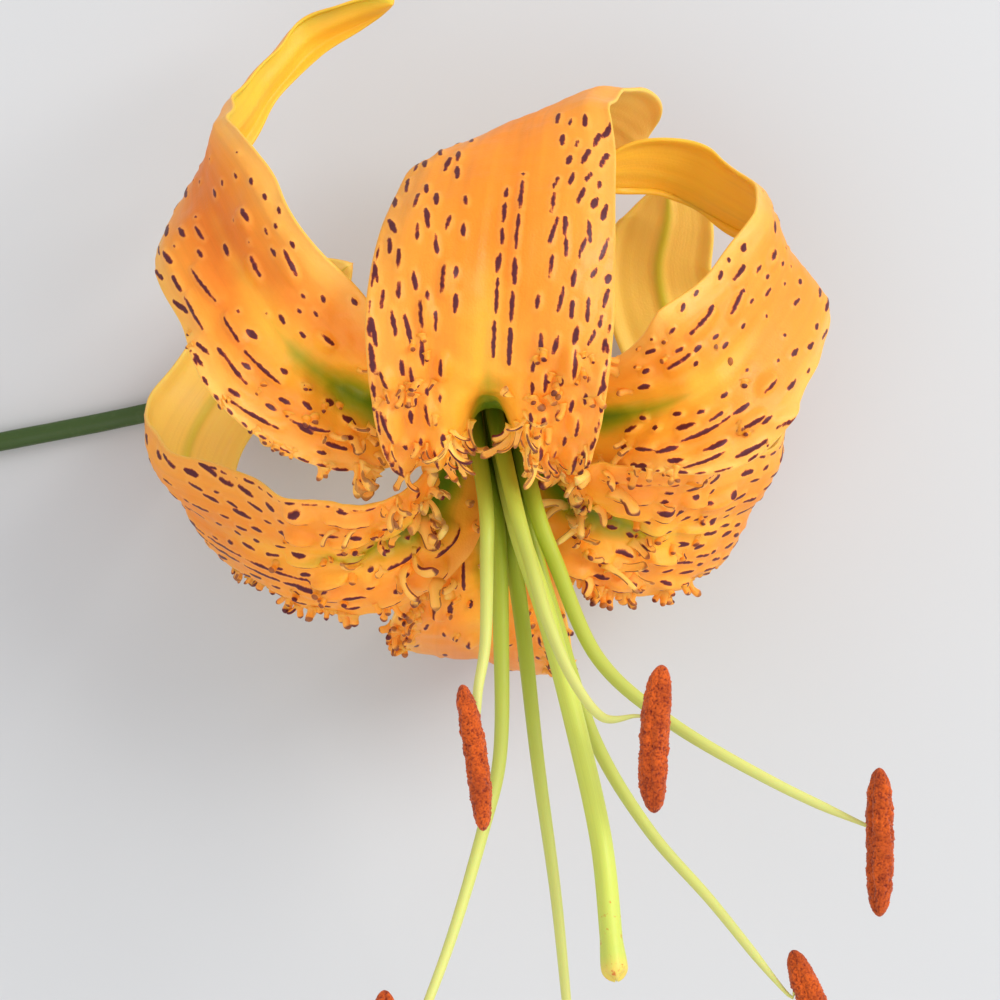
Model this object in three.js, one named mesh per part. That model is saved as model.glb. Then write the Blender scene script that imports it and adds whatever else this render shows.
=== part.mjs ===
// A cut lily: one nodding flower with six reflexed tepals, six stamens and a pistil, lying down on its stem.
// Millimetres, +Z up. The flower faces up and to -Y, the cut stem runs out to -X.
import * as THREE from 'three';

// ---- driving sizes -------------------------------------------------------------------------------------
const WHOLE_SCALE = 1.0;         // size of the whole lily
const TEPAL_WIDTH = 1.0;         // factor on every tepal's width
const TEPAL_THICKNESS = 1.1;     // along the midrib
const MARGIN_THICKNESS = 0.5;    // at the edges
const FILAMENT_RADIUS = 0.78;    // where a filament leaves the receptacle
const FILAMENT_TIP_RADIUS = 0.36;
const STYLE_RADIUS = 0.85;
const STIGMA_RADIUS = 1.3;
const ANTHER_LENGTH = 13.8;
const ANTHER_RADIUS = 1.3;
const PEDICEL_RADIUS = 1.0;
const STEM_REACH = 62;           // straight length of stem beyond the flower
const FIT_GAP = 0.35;            // left between neighbouring pieces

// ---- circles the pieces stand on, from the middle of the receptacle outwards ----------------------------
const FILAMENT_RING = Math.max(2 * FILAMENT_RADIUS, FILAMENT_RADIUS + STYLE_RADIUS) + FIT_GAP;
const INNER_RING = FILAMENT_RING + FILAMENT_RADIUS + FIT_GAP + TEPAL_THICKNESS / 2;
const OUTER_RING = INNER_RING + TEPAL_THICKNESS + FIT_GAP;
const RECEPTACLE_RADIUS = OUTER_RING + TEPAL_THICKNESS / 4;
const FOOT_LIFT = FIT_GAP + 0.1;  // stamens and pistil stand this far off the receptacle's face
const TEPAL_LIFT = FIT_GAP + 0.4; // tepals lean outwards, so they stand a little further off

// ---- how fine the shapes are ---------------------------------------------------------------------------
const TEPAL_STEPS = 24;
const TEPAL_ACROSS = 6;
const ROD_SIDES = 6;
const ROD_STEPS = 16;
const ANTHER_STEPS = 7;

// ---- the flower's own directions -----------------------------------------------------------------------
const SEAT = new THREE.Vector3(-1.5, 14.5, -11);             // middle of the receptacle's face
const AXIS = new THREE.Vector3(0.1, -0.77, 0.62).normalize();  // the way the stamens point
const UP = new THREE.Vector3(0, 0.62, 0.78).projectOnPlane(AXIS).normalize();
const SIDE = new THREE.Vector3().crossVectors(UP, AXIS).normalize();

const COLOURS = {
  tepal: '#f4a04a',
  filament: '#c4cc78',
  anther: '#a8481c',
  pistil: '#bccb66',
  stem: '#3f5a22',
};

const lily = new THREE.Group();
lily.name = 'cut_lily';

function vector(numbers) {
  return new THREE.Vector3(numbers[0], numbers[1], numbers[2]);
}

// direction square to the flower's axis, turned by an angle from the side towards up
function outward(degrees) {
  const turn = THREE.MathUtils.degToRad(degrees);
  return SIDE.clone().multiplyScalar(Math.cos(turn)).addScaledVector(UP, Math.sin(turn));
}

function smoothCurve(points) {
  return new THREE.CatmullRomCurve3(points, false, 'catmullrom', 0.5);
}

// one closed body through rings of points; each ring is closed by pairing its first half with its second
function bodyFromRings(rings) {
  const count = rings[0].length;
  const positions = [];
  const faces = [];
  for (const ring of rings) {
    for (const point of ring) positions.push(point.x, point.y, point.z);
  }
  for (let row = 0; row + 1 < rings.length; row += 1) {
    for (let i = 0; i < count; i += 1) {
      const here = row * count + i;
      const next = row * count + ((i + 1) % count);
      faces.push(here, next, here + count);
      faces.push(next, next + count, here + count);
    }
  }
  const last = (rings.length - 1) * count;
  for (let i = 0; i + 1 < count / 2; i += 1) {
    const pair = count - 1 - i;
    faces.push(i, pair, i + 1);
    faces.push(pair, pair - 1, i + 1);
    faces.push(last + i, last + i + 1, last + pair);
    faces.push(last + pair, last + i + 1, last + pair - 1);
  }
  const geometry = new THREE.BufferGeometry();
  geometry.setAttribute('position', new THREE.Float32BufferAttribute(positions, 3));
  geometry.setIndex(faces);
  geometry.computeVertexNormals();
  return geometry;
}

function addPiece(name, geometry, colour, roughness) {
  const material = new THREE.MeshStandardMaterial({ color: colour, roughness, metalness: 0 });
  const mesh = new THREE.Mesh(geometry, material);
  mesh.name = name;
  lily.add(mesh);
}

// ---- tepals --------------------------------------------------------------------------------------------
const FOOT_HALF_WIDTH = 1.9;
const FOOT_CUP = 0.4;
const CLAW_LENGTH = 8;              // narrow part that rises with the stamens
const CLAW_SPREAD = 0.9;
const CLAW_LEAN = 0.25;
const CLAW_HALF_WIDTH = 3.1;
const CLAW_CUP = 1.0;
const CLAW_SHARE = 0.2;             // the claws stand side by side, so only the blade beyond them widens
const BLADE_SHARE = 0.55;

// A tepal is a thin blade swept along its midrib. Each station gives the midrib point, the way the inner
// face looks, the half width and how far the margins are raised towards the inner face.
function tepal(name, degrees, ring, bends) {
  const away = outward(degrees);
  const foot = SEAT.clone().addScaledVector(AXIS, TEPAL_LIFT).addScaledVector(away, ring);
  const claw = foot.clone().addScaledVector(AXIS, CLAW_LENGTH).addScaledVector(away, CLAW_SPREAD);
  const towards = away.clone().negate();
  const lean = towards.clone().addScaledVector(AXIS, CLAW_LEAN);
  const stations = [
    { at: foot.toArray(), faces: towards.toArray(), half: FOOT_HALF_WIDTH, cup: FOOT_CUP },
    { at: claw.toArray(), faces: lean.toArray(), half: CLAW_HALF_WIDTH, cup: CLAW_CUP },
    ...bends,
  ];
  const midrib = smoothCurve(stations.map((station) => vector(station.at)));
  const facing = smoothCurve(stations.map((station) => vector(station.faces).normalize()));
  const shape = smoothCurve(stations.map((station) => vector([station.half, station.cup, 0])));
  const rings = [];
  for (let step = 0; step <= TEPAL_STEPS; step += 1) {
    const t = step / TEPAL_STEPS;
    const centre = midrib.getPoint(t);
    const along = midrib.getTangent(t);
    const inner = facing.getPoint(t).projectOnPlane(along).normalize();
    const across = new THREE.Vector3().crossVectors(along, inner).normalize();
    const size = shape.getPoint(t);
    const widening = THREE.MathUtils.smoothstep(t, CLAW_SHARE, BLADE_SHARE);
    const half = size.x * THREE.MathUtils.lerp(1, TEPAL_WIDTH, widening);
    const cup = size.y;
    const face = [];
    const back = [];
    for (let j = 0; j <= TEPAL_ACROSS; j += 1) {
      const s = (2 * j) / TEPAL_ACROSS - 1;
      const thick = THREE.MathUtils.lerp(TEPAL_THICKNESS, MARGIN_THICKNESS, s * s) / 2;
      const middle = centre.clone().addScaledVector(across, half * s).addScaledVector(inner, cup * s * s);
      face.push(middle.clone().addScaledVector(inner, thick));
      back.push(middle.clone().addScaledVector(inner, -thick));
    }
    rings.push([...face, ...back.reverse()]);
  }
  addPiece(name, bodyFromRings(rings), COLOURS.tepal, 0.5);
}

tepal('tepal_inner_top', 90, INNER_RING, [
  { at: [-0.9, 5.8, 4], faces: [0, -1, -0.1], half: 7.8, cup: 2.4 },
  { at: [-1.1, 7.4, 10.4], faces: [0, -0.8, 0.6], half: 10.4, cup: 2.2 },
  { at: [-1, 16.2, 14.8], faces: [0, -0.3, 0.95], half: 11.6, cup: 0.8 },
  { at: [-0.3, 24.8, 14], faces: [0, 0.3, 0.95], half: 11.2, cup: -0.6 },
  { at: [0.8, 32.6, 8.8], faces: [-0.1, 0.7, 0.7], half: 10.2, cup: -1 },
  { at: [2.4, 37.4, 1.6], faces: [-0.25, 0.95, 0.1], half: 8.9, cup: -0.8 },
  { at: [6.2, 39.6, -6], faces: [-0.3, 0.9, -0.3], half: 7.4, cup: -0.6 },
  { at: [11.6, 39.6, -12.4], faces: [-0.1, 0.8, -0.6], half: 6, cup: -0.4 },
  { at: [15, 37.6, -17], faces: [0, 0.5, -0.9], half: 1.4, cup: 0 },
]);

tepal('tepal_outer_left', 150, OUTER_RING, [
  { at: [-10.8, 8.6, 2.6], faces: [0.6, -0.5, 0.6], half: 5.4, cup: 1.2 },
  { at: [-15.4, 10.6, 6.4], faces: [0.25, -0.3, 0.9], half: 7.6, cup: 1.6 },
  { at: [-20.4, 15, 8.4], faces: [-0.1, 0, 1], half: 8.6, cup: 1.8 },
  { at: [-24.8, 21.4, 7.2], faces: [-0.4, 0.15, 0.9], half: 7.8, cup: 1.6 },
  { at: [-29.4, 28.6, 2.2], faces: [-0.66, 0.36, 0.66], half: 7.8, cup: 1.2 },
  { at: [-29.4, 34.6, -4.8], faces: [-0.9, 0.35, 0.1], half: 5.6, cup: 0.4 },
  { at: [-27, 40, -11.6], faces: [-0.76, 0.32, -0.6], half: 2.9, cup: 0.2 },
  { at: [-24, 45.4, -16.2], faces: [-0.5, 0.4, -0.8], half: 2.2, cup: 0 },
  { at: [-20.6, 49.4, -18.2], faces: [-0.35, 0.5, -0.8], half: 2.1, cup: 0 },
  { at: [-15.6, 51.8, -17.6], faces: [-0.2, 0.6, -0.8], half: 1.8, cup: 0 },
  { at: [-11.2, 52.8, -15.4], faces: [-0.2, 0.6, -0.8], half: 0.8, cup: 0 },
]);

tepal('tepal_outer_right', 30, OUTER_RING, [
  { at: [9.2, 7.8, 0.6], faces: [-0.5, -0.5, 0.7], half: 5, cup: 0.6 },
  { at: [14, 8.7, 5.6], faces: [-0.15, -0.05, 0.97], half: 5.9, cup: 0.4 },
  { at: [20, 11.1, 7.6], faces: [0.1, -0.1, 1], half: 8.6, cup: 0.8 },
  { at: [25.4, 16.8, 4.2], faces: [0.5, 0.1, 0.85], half: 7.6, cup: 1 },
  { at: [30, 23.4, -2.2], faces: [0.8, 0.35, 0.45], half: 7.5, cup: 0.8 },
  { at: [27.8, 28, -8.4], faces: [0.8, 0.5, -0.2], half: 6.2, cup: 0.4 },
  { at: [22.6, 31.4, -11.8], faces: [0.4, 0.55, -0.7], half: 5.4, cup: 0.2 },
  { at: [18.8, 33.4, -12.6], faces: [0.1, 0.6, -0.8], half: 5.2, cup: 0 },
  { at: [14, 34.2, -11.4], faces: [0, 0.6, -0.8], half: 4.2, cup: 0 },
  { at: [9.6, 34, -9.4], faces: [0, 0.6, -0.8], half: 1.6, cup: 0 },
]);

tepal('tepal_inner_left', 210, INNER_RING, [
  { at: [-6.6, -1.4, -2.4], faces: [0.45, -0.4, 0.8], half: 5.6, cup: 1.2 },
  { at: [-12, -5.2, -0.8], faces: [0.1, -0.6, 0.8], half: 6.8, cup: 0.8 },
  { at: [-19.6, -5.8, -2.6], faces: [-0.12, -0.66, 0.75], half: 7.8, cup: 0.2 },
  { at: [-26.8, -3.6, -7], faces: [-0.45, -0.62, 0.62], half: 7.8, cup: -0.2 },
  { at: [-33.2, -0.2, -13.4], faces: [-0.8, -0.55, 0.15], half: 7.6, cup: -0.4 },
  { at: [-34.4, 4.4, -20], faces: [-0.8, -0.35, -0.5], half: 7, cup: -0.4 },
  { at: [-32, 10.2, -24.8], faces: [-0.45, -0.05, -0.9], half: 5.8, cup: -0.2 },
  { at: [-26.8, 16.6, -26.4], faces: [-0.2, 0.15, -0.95], half: 6, cup: 0 },
  { at: [-21, 22, -24.8], faces: [0, 0.2, -1], half: 4.6, cup: 0 },
  { at: [-16, 25.4, -21.2], faces: [0.2, 0.2, -1], half: 1, cup: 0 },
]);

tepal('tepal_inner_right', 330, INNER_RING, [
  { at: [6.8, -0.6, -2.8], faces: [-0.45, -0.38, 0.8], half: 5.4, cup: 1.2 },
  { at: [11.8, -2.9, -2.2], faces: [-0.1, -0.6, 0.8], half: 7.1, cup: 0.8 },
  { at: [17.6, -3.6, -5], faces: [0.2, -0.65, 0.75], half: 8.6, cup: 0.4 },
  { at: [22.8, -2.4, -9.2], faces: [0.45, -0.65, 0.6], half: 8.2, cup: 0.2 },
  { at: [26.6, -0.3, -14.2], faces: [0.8, -0.55, 0.2], half: 7.8, cup: 0 },
  { at: [25.8, 4, -20], faces: [0.8, -0.35, -0.45], half: 7.4, cup: -0.2 },
  { at: [24.2, 9.4, -25.2], faces: [0.55, -0.1, -0.8], half: 7, cup: -0.2 },
  { at: [21.4, 15.2, -29], faces: [0.3, 0.1, -0.95], half: 6.6, cup: 0 },
  { at: [18.6, 20.6, -30.2], faces: [0.1, 0.2, -0.98], half: 6.2, cup: 0 },
  { at: [17.5, 25.8, -28.6], faces: [0.1, 0.3, -0.95], half: 5.8, cup: 0 },
  { at: [18.2, 31, -24.8], faces: [0, 0.3, -0.95], half: 4.8, cup: 0 },
  { at: [17.8, 34.4, -21.2], faces: [0, 0.3, -0.95], half: 1, cup: 0 },
]);

tepal('tepal_outer_bottom', 270, OUTER_RING, [
  { at: [-1, -4.6, -7.8], faces: [-0.05, 0.2, 0.98], half: 6.4, cup: 1.2 },
  { at: [-1.6, -10.6, -9], faces: [-0.1, -0.4, 0.9], half: 8.6, cup: 1.2 },
  { at: [-2, -15, -14], faces: [-0.15, -0.85, 0.5], half: 9.6, cup: 0.8 },
  { at: [-2, -17, -21.2], faces: [-0.15, -1, 0], half: 9.2, cup: 0.4 },
  { at: [-1.6, -15.6, -28.4], faces: [-0.1, -0.85, -0.5], half: 8, cup: 0 },
  { at: [-1, -11, -33.4], faces: [0, -0.4, -0.9], half: 6.6, cup: 0 },
  { at: [-0.4, -4.2, -34.2], faces: [0, 0, -1], half: 5.4, cup: 0 },
  { at: [0, 3, -32.4], faces: [0, 0.2, -1], half: 3.8, cup: 0 },
  { at: [0, 8.8, -29], faces: [0, 0.2, -1], half: 1, cup: 0 },
]);

// ---- round, tapered pieces -----------------------------------------------------------------------------
// rings stand square to the curve; radius(t) gives the radius from start to end
function taperedRod(points, radius, steps, sides) {
  const curve = smoothCurve(points);
  const rings = [];
  let reference = new THREE.Vector3(0, 0, 1);
  for (let step = 0; step <= steps; step += 1) {
    const t = step / steps;
    const centre = curve.getPoint(t);
    const along = curve.getTangent(t);
    reference = reference.clone().projectOnPlane(along).normalize();
    const other = new THREE.Vector3().crossVectors(along, reference);
    const ring = [];
    for (let i = 0; i < sides; i += 1) {
      const turn = (2 * Math.PI * (i + 0.5)) / sides;
      const spoke = reference.clone().multiplyScalar(Math.cos(turn)).addScaledVector(other, Math.sin(turn));
      ring.push(centre.clone().addScaledVector(spoke, radius(t)));
    }
    rings.push(ring);
  }
  return bodyFromRings(rings);
}

// ---- stamens -------------------------------------------------------------------------------------------

function stamen(number, degrees, bends, anther) {
  const away = outward(degrees);
  const foot = SEAT.clone().addScaledVector(AXIS, FOOT_LIFT).addScaledVector(away, FILAMENT_RING);
  const rise = foot.clone().addScaledVector(AXIS, CLAW_LENGTH).addScaledVector(away, 0.4);
  const points = [foot, rise, ...bends.map(vector)];
  const radius = (t) => THREE.MathUtils.lerp(FILAMENT_RADIUS, FILAMENT_TIP_RADIUS, t * t);
  addPiece(`filament_${number}`, taperedRod(points, radius, ROD_STEPS, ROD_SIDES), COLOURS.filament, 0.45);
  const hinge = points[points.length - 1];
  const lean = vector(anther.along).normalize();
  const clear = vector(anther.stands).projectOnPlane(lean).normalize();
  const middle = hinge.clone().addScaledVector(clear, ANTHER_RADIUS + FILAMENT_TIP_RADIUS + FIT_GAP);
  middle.addScaledVector(lean, anther.shift);
  const ends = [-0.5, 0, 0.5].map((share) => middle.clone().addScaledVector(lean, share * ANTHER_LENGTH));
  const swell = (t) => ANTHER_RADIUS * Math.pow(Math.max(Math.sin(Math.PI * (0.06 + 0.88 * t)), 0.1), 0.45);
  addPiece(`anther_${number}`, taperedRod(ends, swell, ANTHER_STEPS, ROD_SIDES), COLOURS.anther, 0.9);
}

stamen(1, 150, [[-1.4, -0.4, 4.0], [-1.3, -6.0, 7.0], [-1.4, -13.6, 11.4], [-2.1, -18.2, 13.8],
  [-2.3, -22.4, 15.2]],
  { along: [0.15, -1, 0.1], stands: [-0.1, 0.1, 1], shift: 1.9 });
stamen(2, 210, [[-0.4, -2.0, 1.2], [0.1, -13.8, 5.6], [0, -24.4, 10.2], [-1.6, -31.4, 13.4],
  [-4.8, -41.8, 17.6], [-8.6, -51.0, 21.0]],
  { along: [-0.05, -1, 0.15], stands: [-1, 0, 0.2], shift: 1.4 });
stamen(3, 270, [[0.8, -3.0, -0.2], [2.1, -11.4, 2.6], [3.6, -25.0, 7.4], [5.4, -38.2, 11.0],
  [6.8, -52.0, 14.4]],
  { along: [-0.15, -1, 0.1], stands: [0.6, 0, 0.8], shift: 4.0 });
stamen(4, 90, [[1.3, 0.2, 5.2], [2.9, -5.8, 8.6], [4.5, -11.4, 11.6], [6.8, -16.8, 14.4], [9.6, -20.4, 16.6],
  [12.6, -20.2, 18.0]],
  { along: [-0.06, -1, 0.1], stands: [1, 0, 0.35], shift: 2.0 });
stamen(5, 30, [[3.4, -0.4, 2.4], [5.4, -6.0, 4.4], [9.4, -15.2, 8.4], [16.2, -21.2, 11.6],
  [26.0, -26.8, 14.4],  [34.4, -30.6, 16.4]],
  { along: [-0.02, -1, 0.15], stands: [0.55, 0, 0.85], shift: 1.6 });
stamen(6, 330, [[3.0, -3.4, 0.2], [5.6, -12.4, 1.8], [9.2, -23.4, 4.6], [14.4, -32.0, 6.8],
  [20.6, -39.0, 8.8],  [27.4, -47.2, 11.4]],
  { along: [0.4, -0.9, 0.15], stands: [0.9, 0.4, 0.3], shift: 3.5 });

// ---- pistil: ovary, style and stigma grown as one ------------------------------------------------------
const pistilFoot = SEAT.clone().addScaledVector(AXIS, FOOT_LIFT);
const pistilPoints = [
  pistilFoot,
  pistilFoot.clone().addScaledVector(AXIS, CLAW_LENGTH),
  vector([1.6, -2.2, 3.2]),
  vector([4.6, -11.4, 7.0]),
  vector([7.4, -22.2, 11.4]),
  vector([9.6, -32.4, 15.2]),
  vector([10.5, -42.0, 18.4]),
  vector([10.9, -45.2, 19.4]),
];

function pistilRadius(t) {
  const style = THREE.MathUtils.lerp(STYLE_RADIUS, STYLE_RADIUS * 1.35, t);
  const stigma = THREE.MathUtils.smoothstep(t, 0.9, 0.97) * (STIGMA_RADIUS - STYLE_RADIUS * 1.35);
  return style + stigma;
}
addPiece('pistil', taperedRod(pistilPoints, pistilRadius, 22, 8), COLOURS.pistil, 0.45);

// ---- stem: pedicel with the receptacle the flower stands on --------------------------------------------
const stemPoints = [
  SEAT.clone(),
  SEAT.clone().addScaledVector(AXIS, -1.6),
  SEAT.clone().addScaledVector(AXIS, -4.4),
  vector([-5.0, 20.6, -20.2]),
  vector([-12.6, 18.6, -27.6]),
  vector([-25.0, 13.8, -32.2]),
  vector([-39.0, 9.9, -33.6]),
  vector([-39.0 - STEM_REACH / 2, 3.6, -34.0]),
  vector([-39.0 - STEM_REACH, -4.4, -34.0]),
];

function stemRadius(t) {
  const swelling = 1 - THREE.MathUtils.smoothstep(t, 0.08, 0.34);
  return THREE.MathUtils.lerp(PEDICEL_RADIUS, RECEPTACLE_RADIUS, swelling);
}
addPiece('stem', taperedRod(stemPoints, stemRadius, 30, 8), COLOURS.stem, 0.55);

// ---- set the lowest point on the ground and the middle over the origin ----------------------------------
lily.scale.setScalar(WHOLE_SCALE);
const extent = new THREE.Box3().setFromObject(lily);
const centre = extent.getCenter(new THREE.Vector3());
lily.position.set(-centre.x, -centre.y, -extent.min.z);
lily.updateMatrixWorld(true);

export default lily;
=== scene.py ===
import math

import bpy
import numpy as np
from bpy.props import FloatProperty, FloatVectorProperty, PointerProperty
from bpy.types import Operator, Panel, PropertyGroup
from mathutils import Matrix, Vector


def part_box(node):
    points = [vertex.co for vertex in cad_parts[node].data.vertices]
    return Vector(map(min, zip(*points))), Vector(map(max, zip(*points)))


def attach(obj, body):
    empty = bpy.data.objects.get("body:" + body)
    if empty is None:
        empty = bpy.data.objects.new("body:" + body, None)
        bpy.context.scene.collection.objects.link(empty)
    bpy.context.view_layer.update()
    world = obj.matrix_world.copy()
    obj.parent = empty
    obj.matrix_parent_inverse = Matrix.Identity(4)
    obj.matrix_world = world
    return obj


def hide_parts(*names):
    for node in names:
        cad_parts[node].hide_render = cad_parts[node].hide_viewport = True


bl_info = {
    "name": "Cut Lily",
    "version": (1, 0, 0),
    "blender": (4, 5, 0),
    "location": "3D View > Sidebar > Cut Lily",
    "description": "Builds a cut lily with curled spotted tepals, stamens, pistil and stem on a plain table",
    "category": "Object",
}

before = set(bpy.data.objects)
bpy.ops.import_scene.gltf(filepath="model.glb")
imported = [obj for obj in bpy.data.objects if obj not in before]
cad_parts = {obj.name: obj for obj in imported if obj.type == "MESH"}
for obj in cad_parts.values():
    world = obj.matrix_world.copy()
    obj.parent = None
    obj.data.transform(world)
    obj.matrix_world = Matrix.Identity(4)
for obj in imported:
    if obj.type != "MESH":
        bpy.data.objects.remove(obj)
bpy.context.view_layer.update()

MM = 0.001

# ---- the flower's own measures, in millimetres about the middle of its throat ---------------------------
SEAT = np.array([-1.5, 14.5, -11.0])
FIT_GAP = 0.35
TEPAL_THICKNESS = 1.1
FILAMENT_FOOT_RADIUS = 0.78
STYLE_RADIUS = 0.85
ANTHER_LENGTH = 13.8
ANTHER_RADIUS = 1.3
FILAMENT_TIP_RADIUS = 0.36
ANTHER_TIP_GAP = FILAMENT_TIP_RADIUS + FIT_GAP
CLAW_LENGTH = 8.0
TEPAL_SPLAY = 0.9
STAMEN_SPLAY = 0.4
STEM_REACH = 62.0
FILAMENT_RING = max(2 * FILAMENT_FOOT_RADIUS, FILAMENT_FOOT_RADIUS + STYLE_RADIUS) + FIT_GAP
INNER_RING = FILAMENT_RING + FILAMENT_FOOT_RADIUS + FIT_GAP + TEPAL_THICKNESS / 2
OUTER_RING = INNER_RING + TEPAL_THICKNESS + FIT_GAP
RECEPTACLE_RADIUS = OUTER_RING + TEPAL_THICKNESS / 4
FOOT_LIFT = FIT_GAP + 0.1
TEPAL_LIFT = FIT_GAP + 0.4

# ---- how finely the pieces are meshed: rows along, points across or round ---------------------------------
ROWS = 340
FACE_COLUMNS = 97
BACK_COLUMNS = 37
FINGER_MESH = 14, 12
FILAMENT_MESH = 150, 16
ANTHER_MESH = 130, 72
PISTIL_MESH = 260, 36
STEM_MESH = 420, 28
CURVE_STEPS = 2000

# ---- camera, table and lamps ------------------------------------------------------------------------------
CAMERA_HEIGHT_MM = 277.8
LENS_MM = 100
SENSOR_MM = 36
TABLE_REACH_MM = 1500
KEY_PLACE, KEY_SIZE_MM = (600, 330, 480), 480
FILL_PLACE, FILL_SIZE_MM = (-120, -190, 430), 340
ROOM_COLOUR = (0.95, 0.96, 1.0, 1.0)


def unit(vectors):
    """Each vector scaled to length 1."""
    vectors = np.asarray(vectors, float)
    return vectors / np.linalg.norm(vectors, axis=-1, keepdims=True)


AXIS = unit([0.1, -0.77, 0.62])
UP = np.array([0, 0.62, 0.78])
UP = unit(UP - AXIS * (UP @ AXIS))
SIDE = np.cross(UP, AXIS)


def outward(degrees):
    """Direction away from the flower's axis, at an angle round it."""
    turn = math.radians(degrees)
    return SIDE * math.cos(turn) + UP * math.sin(turn)


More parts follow.
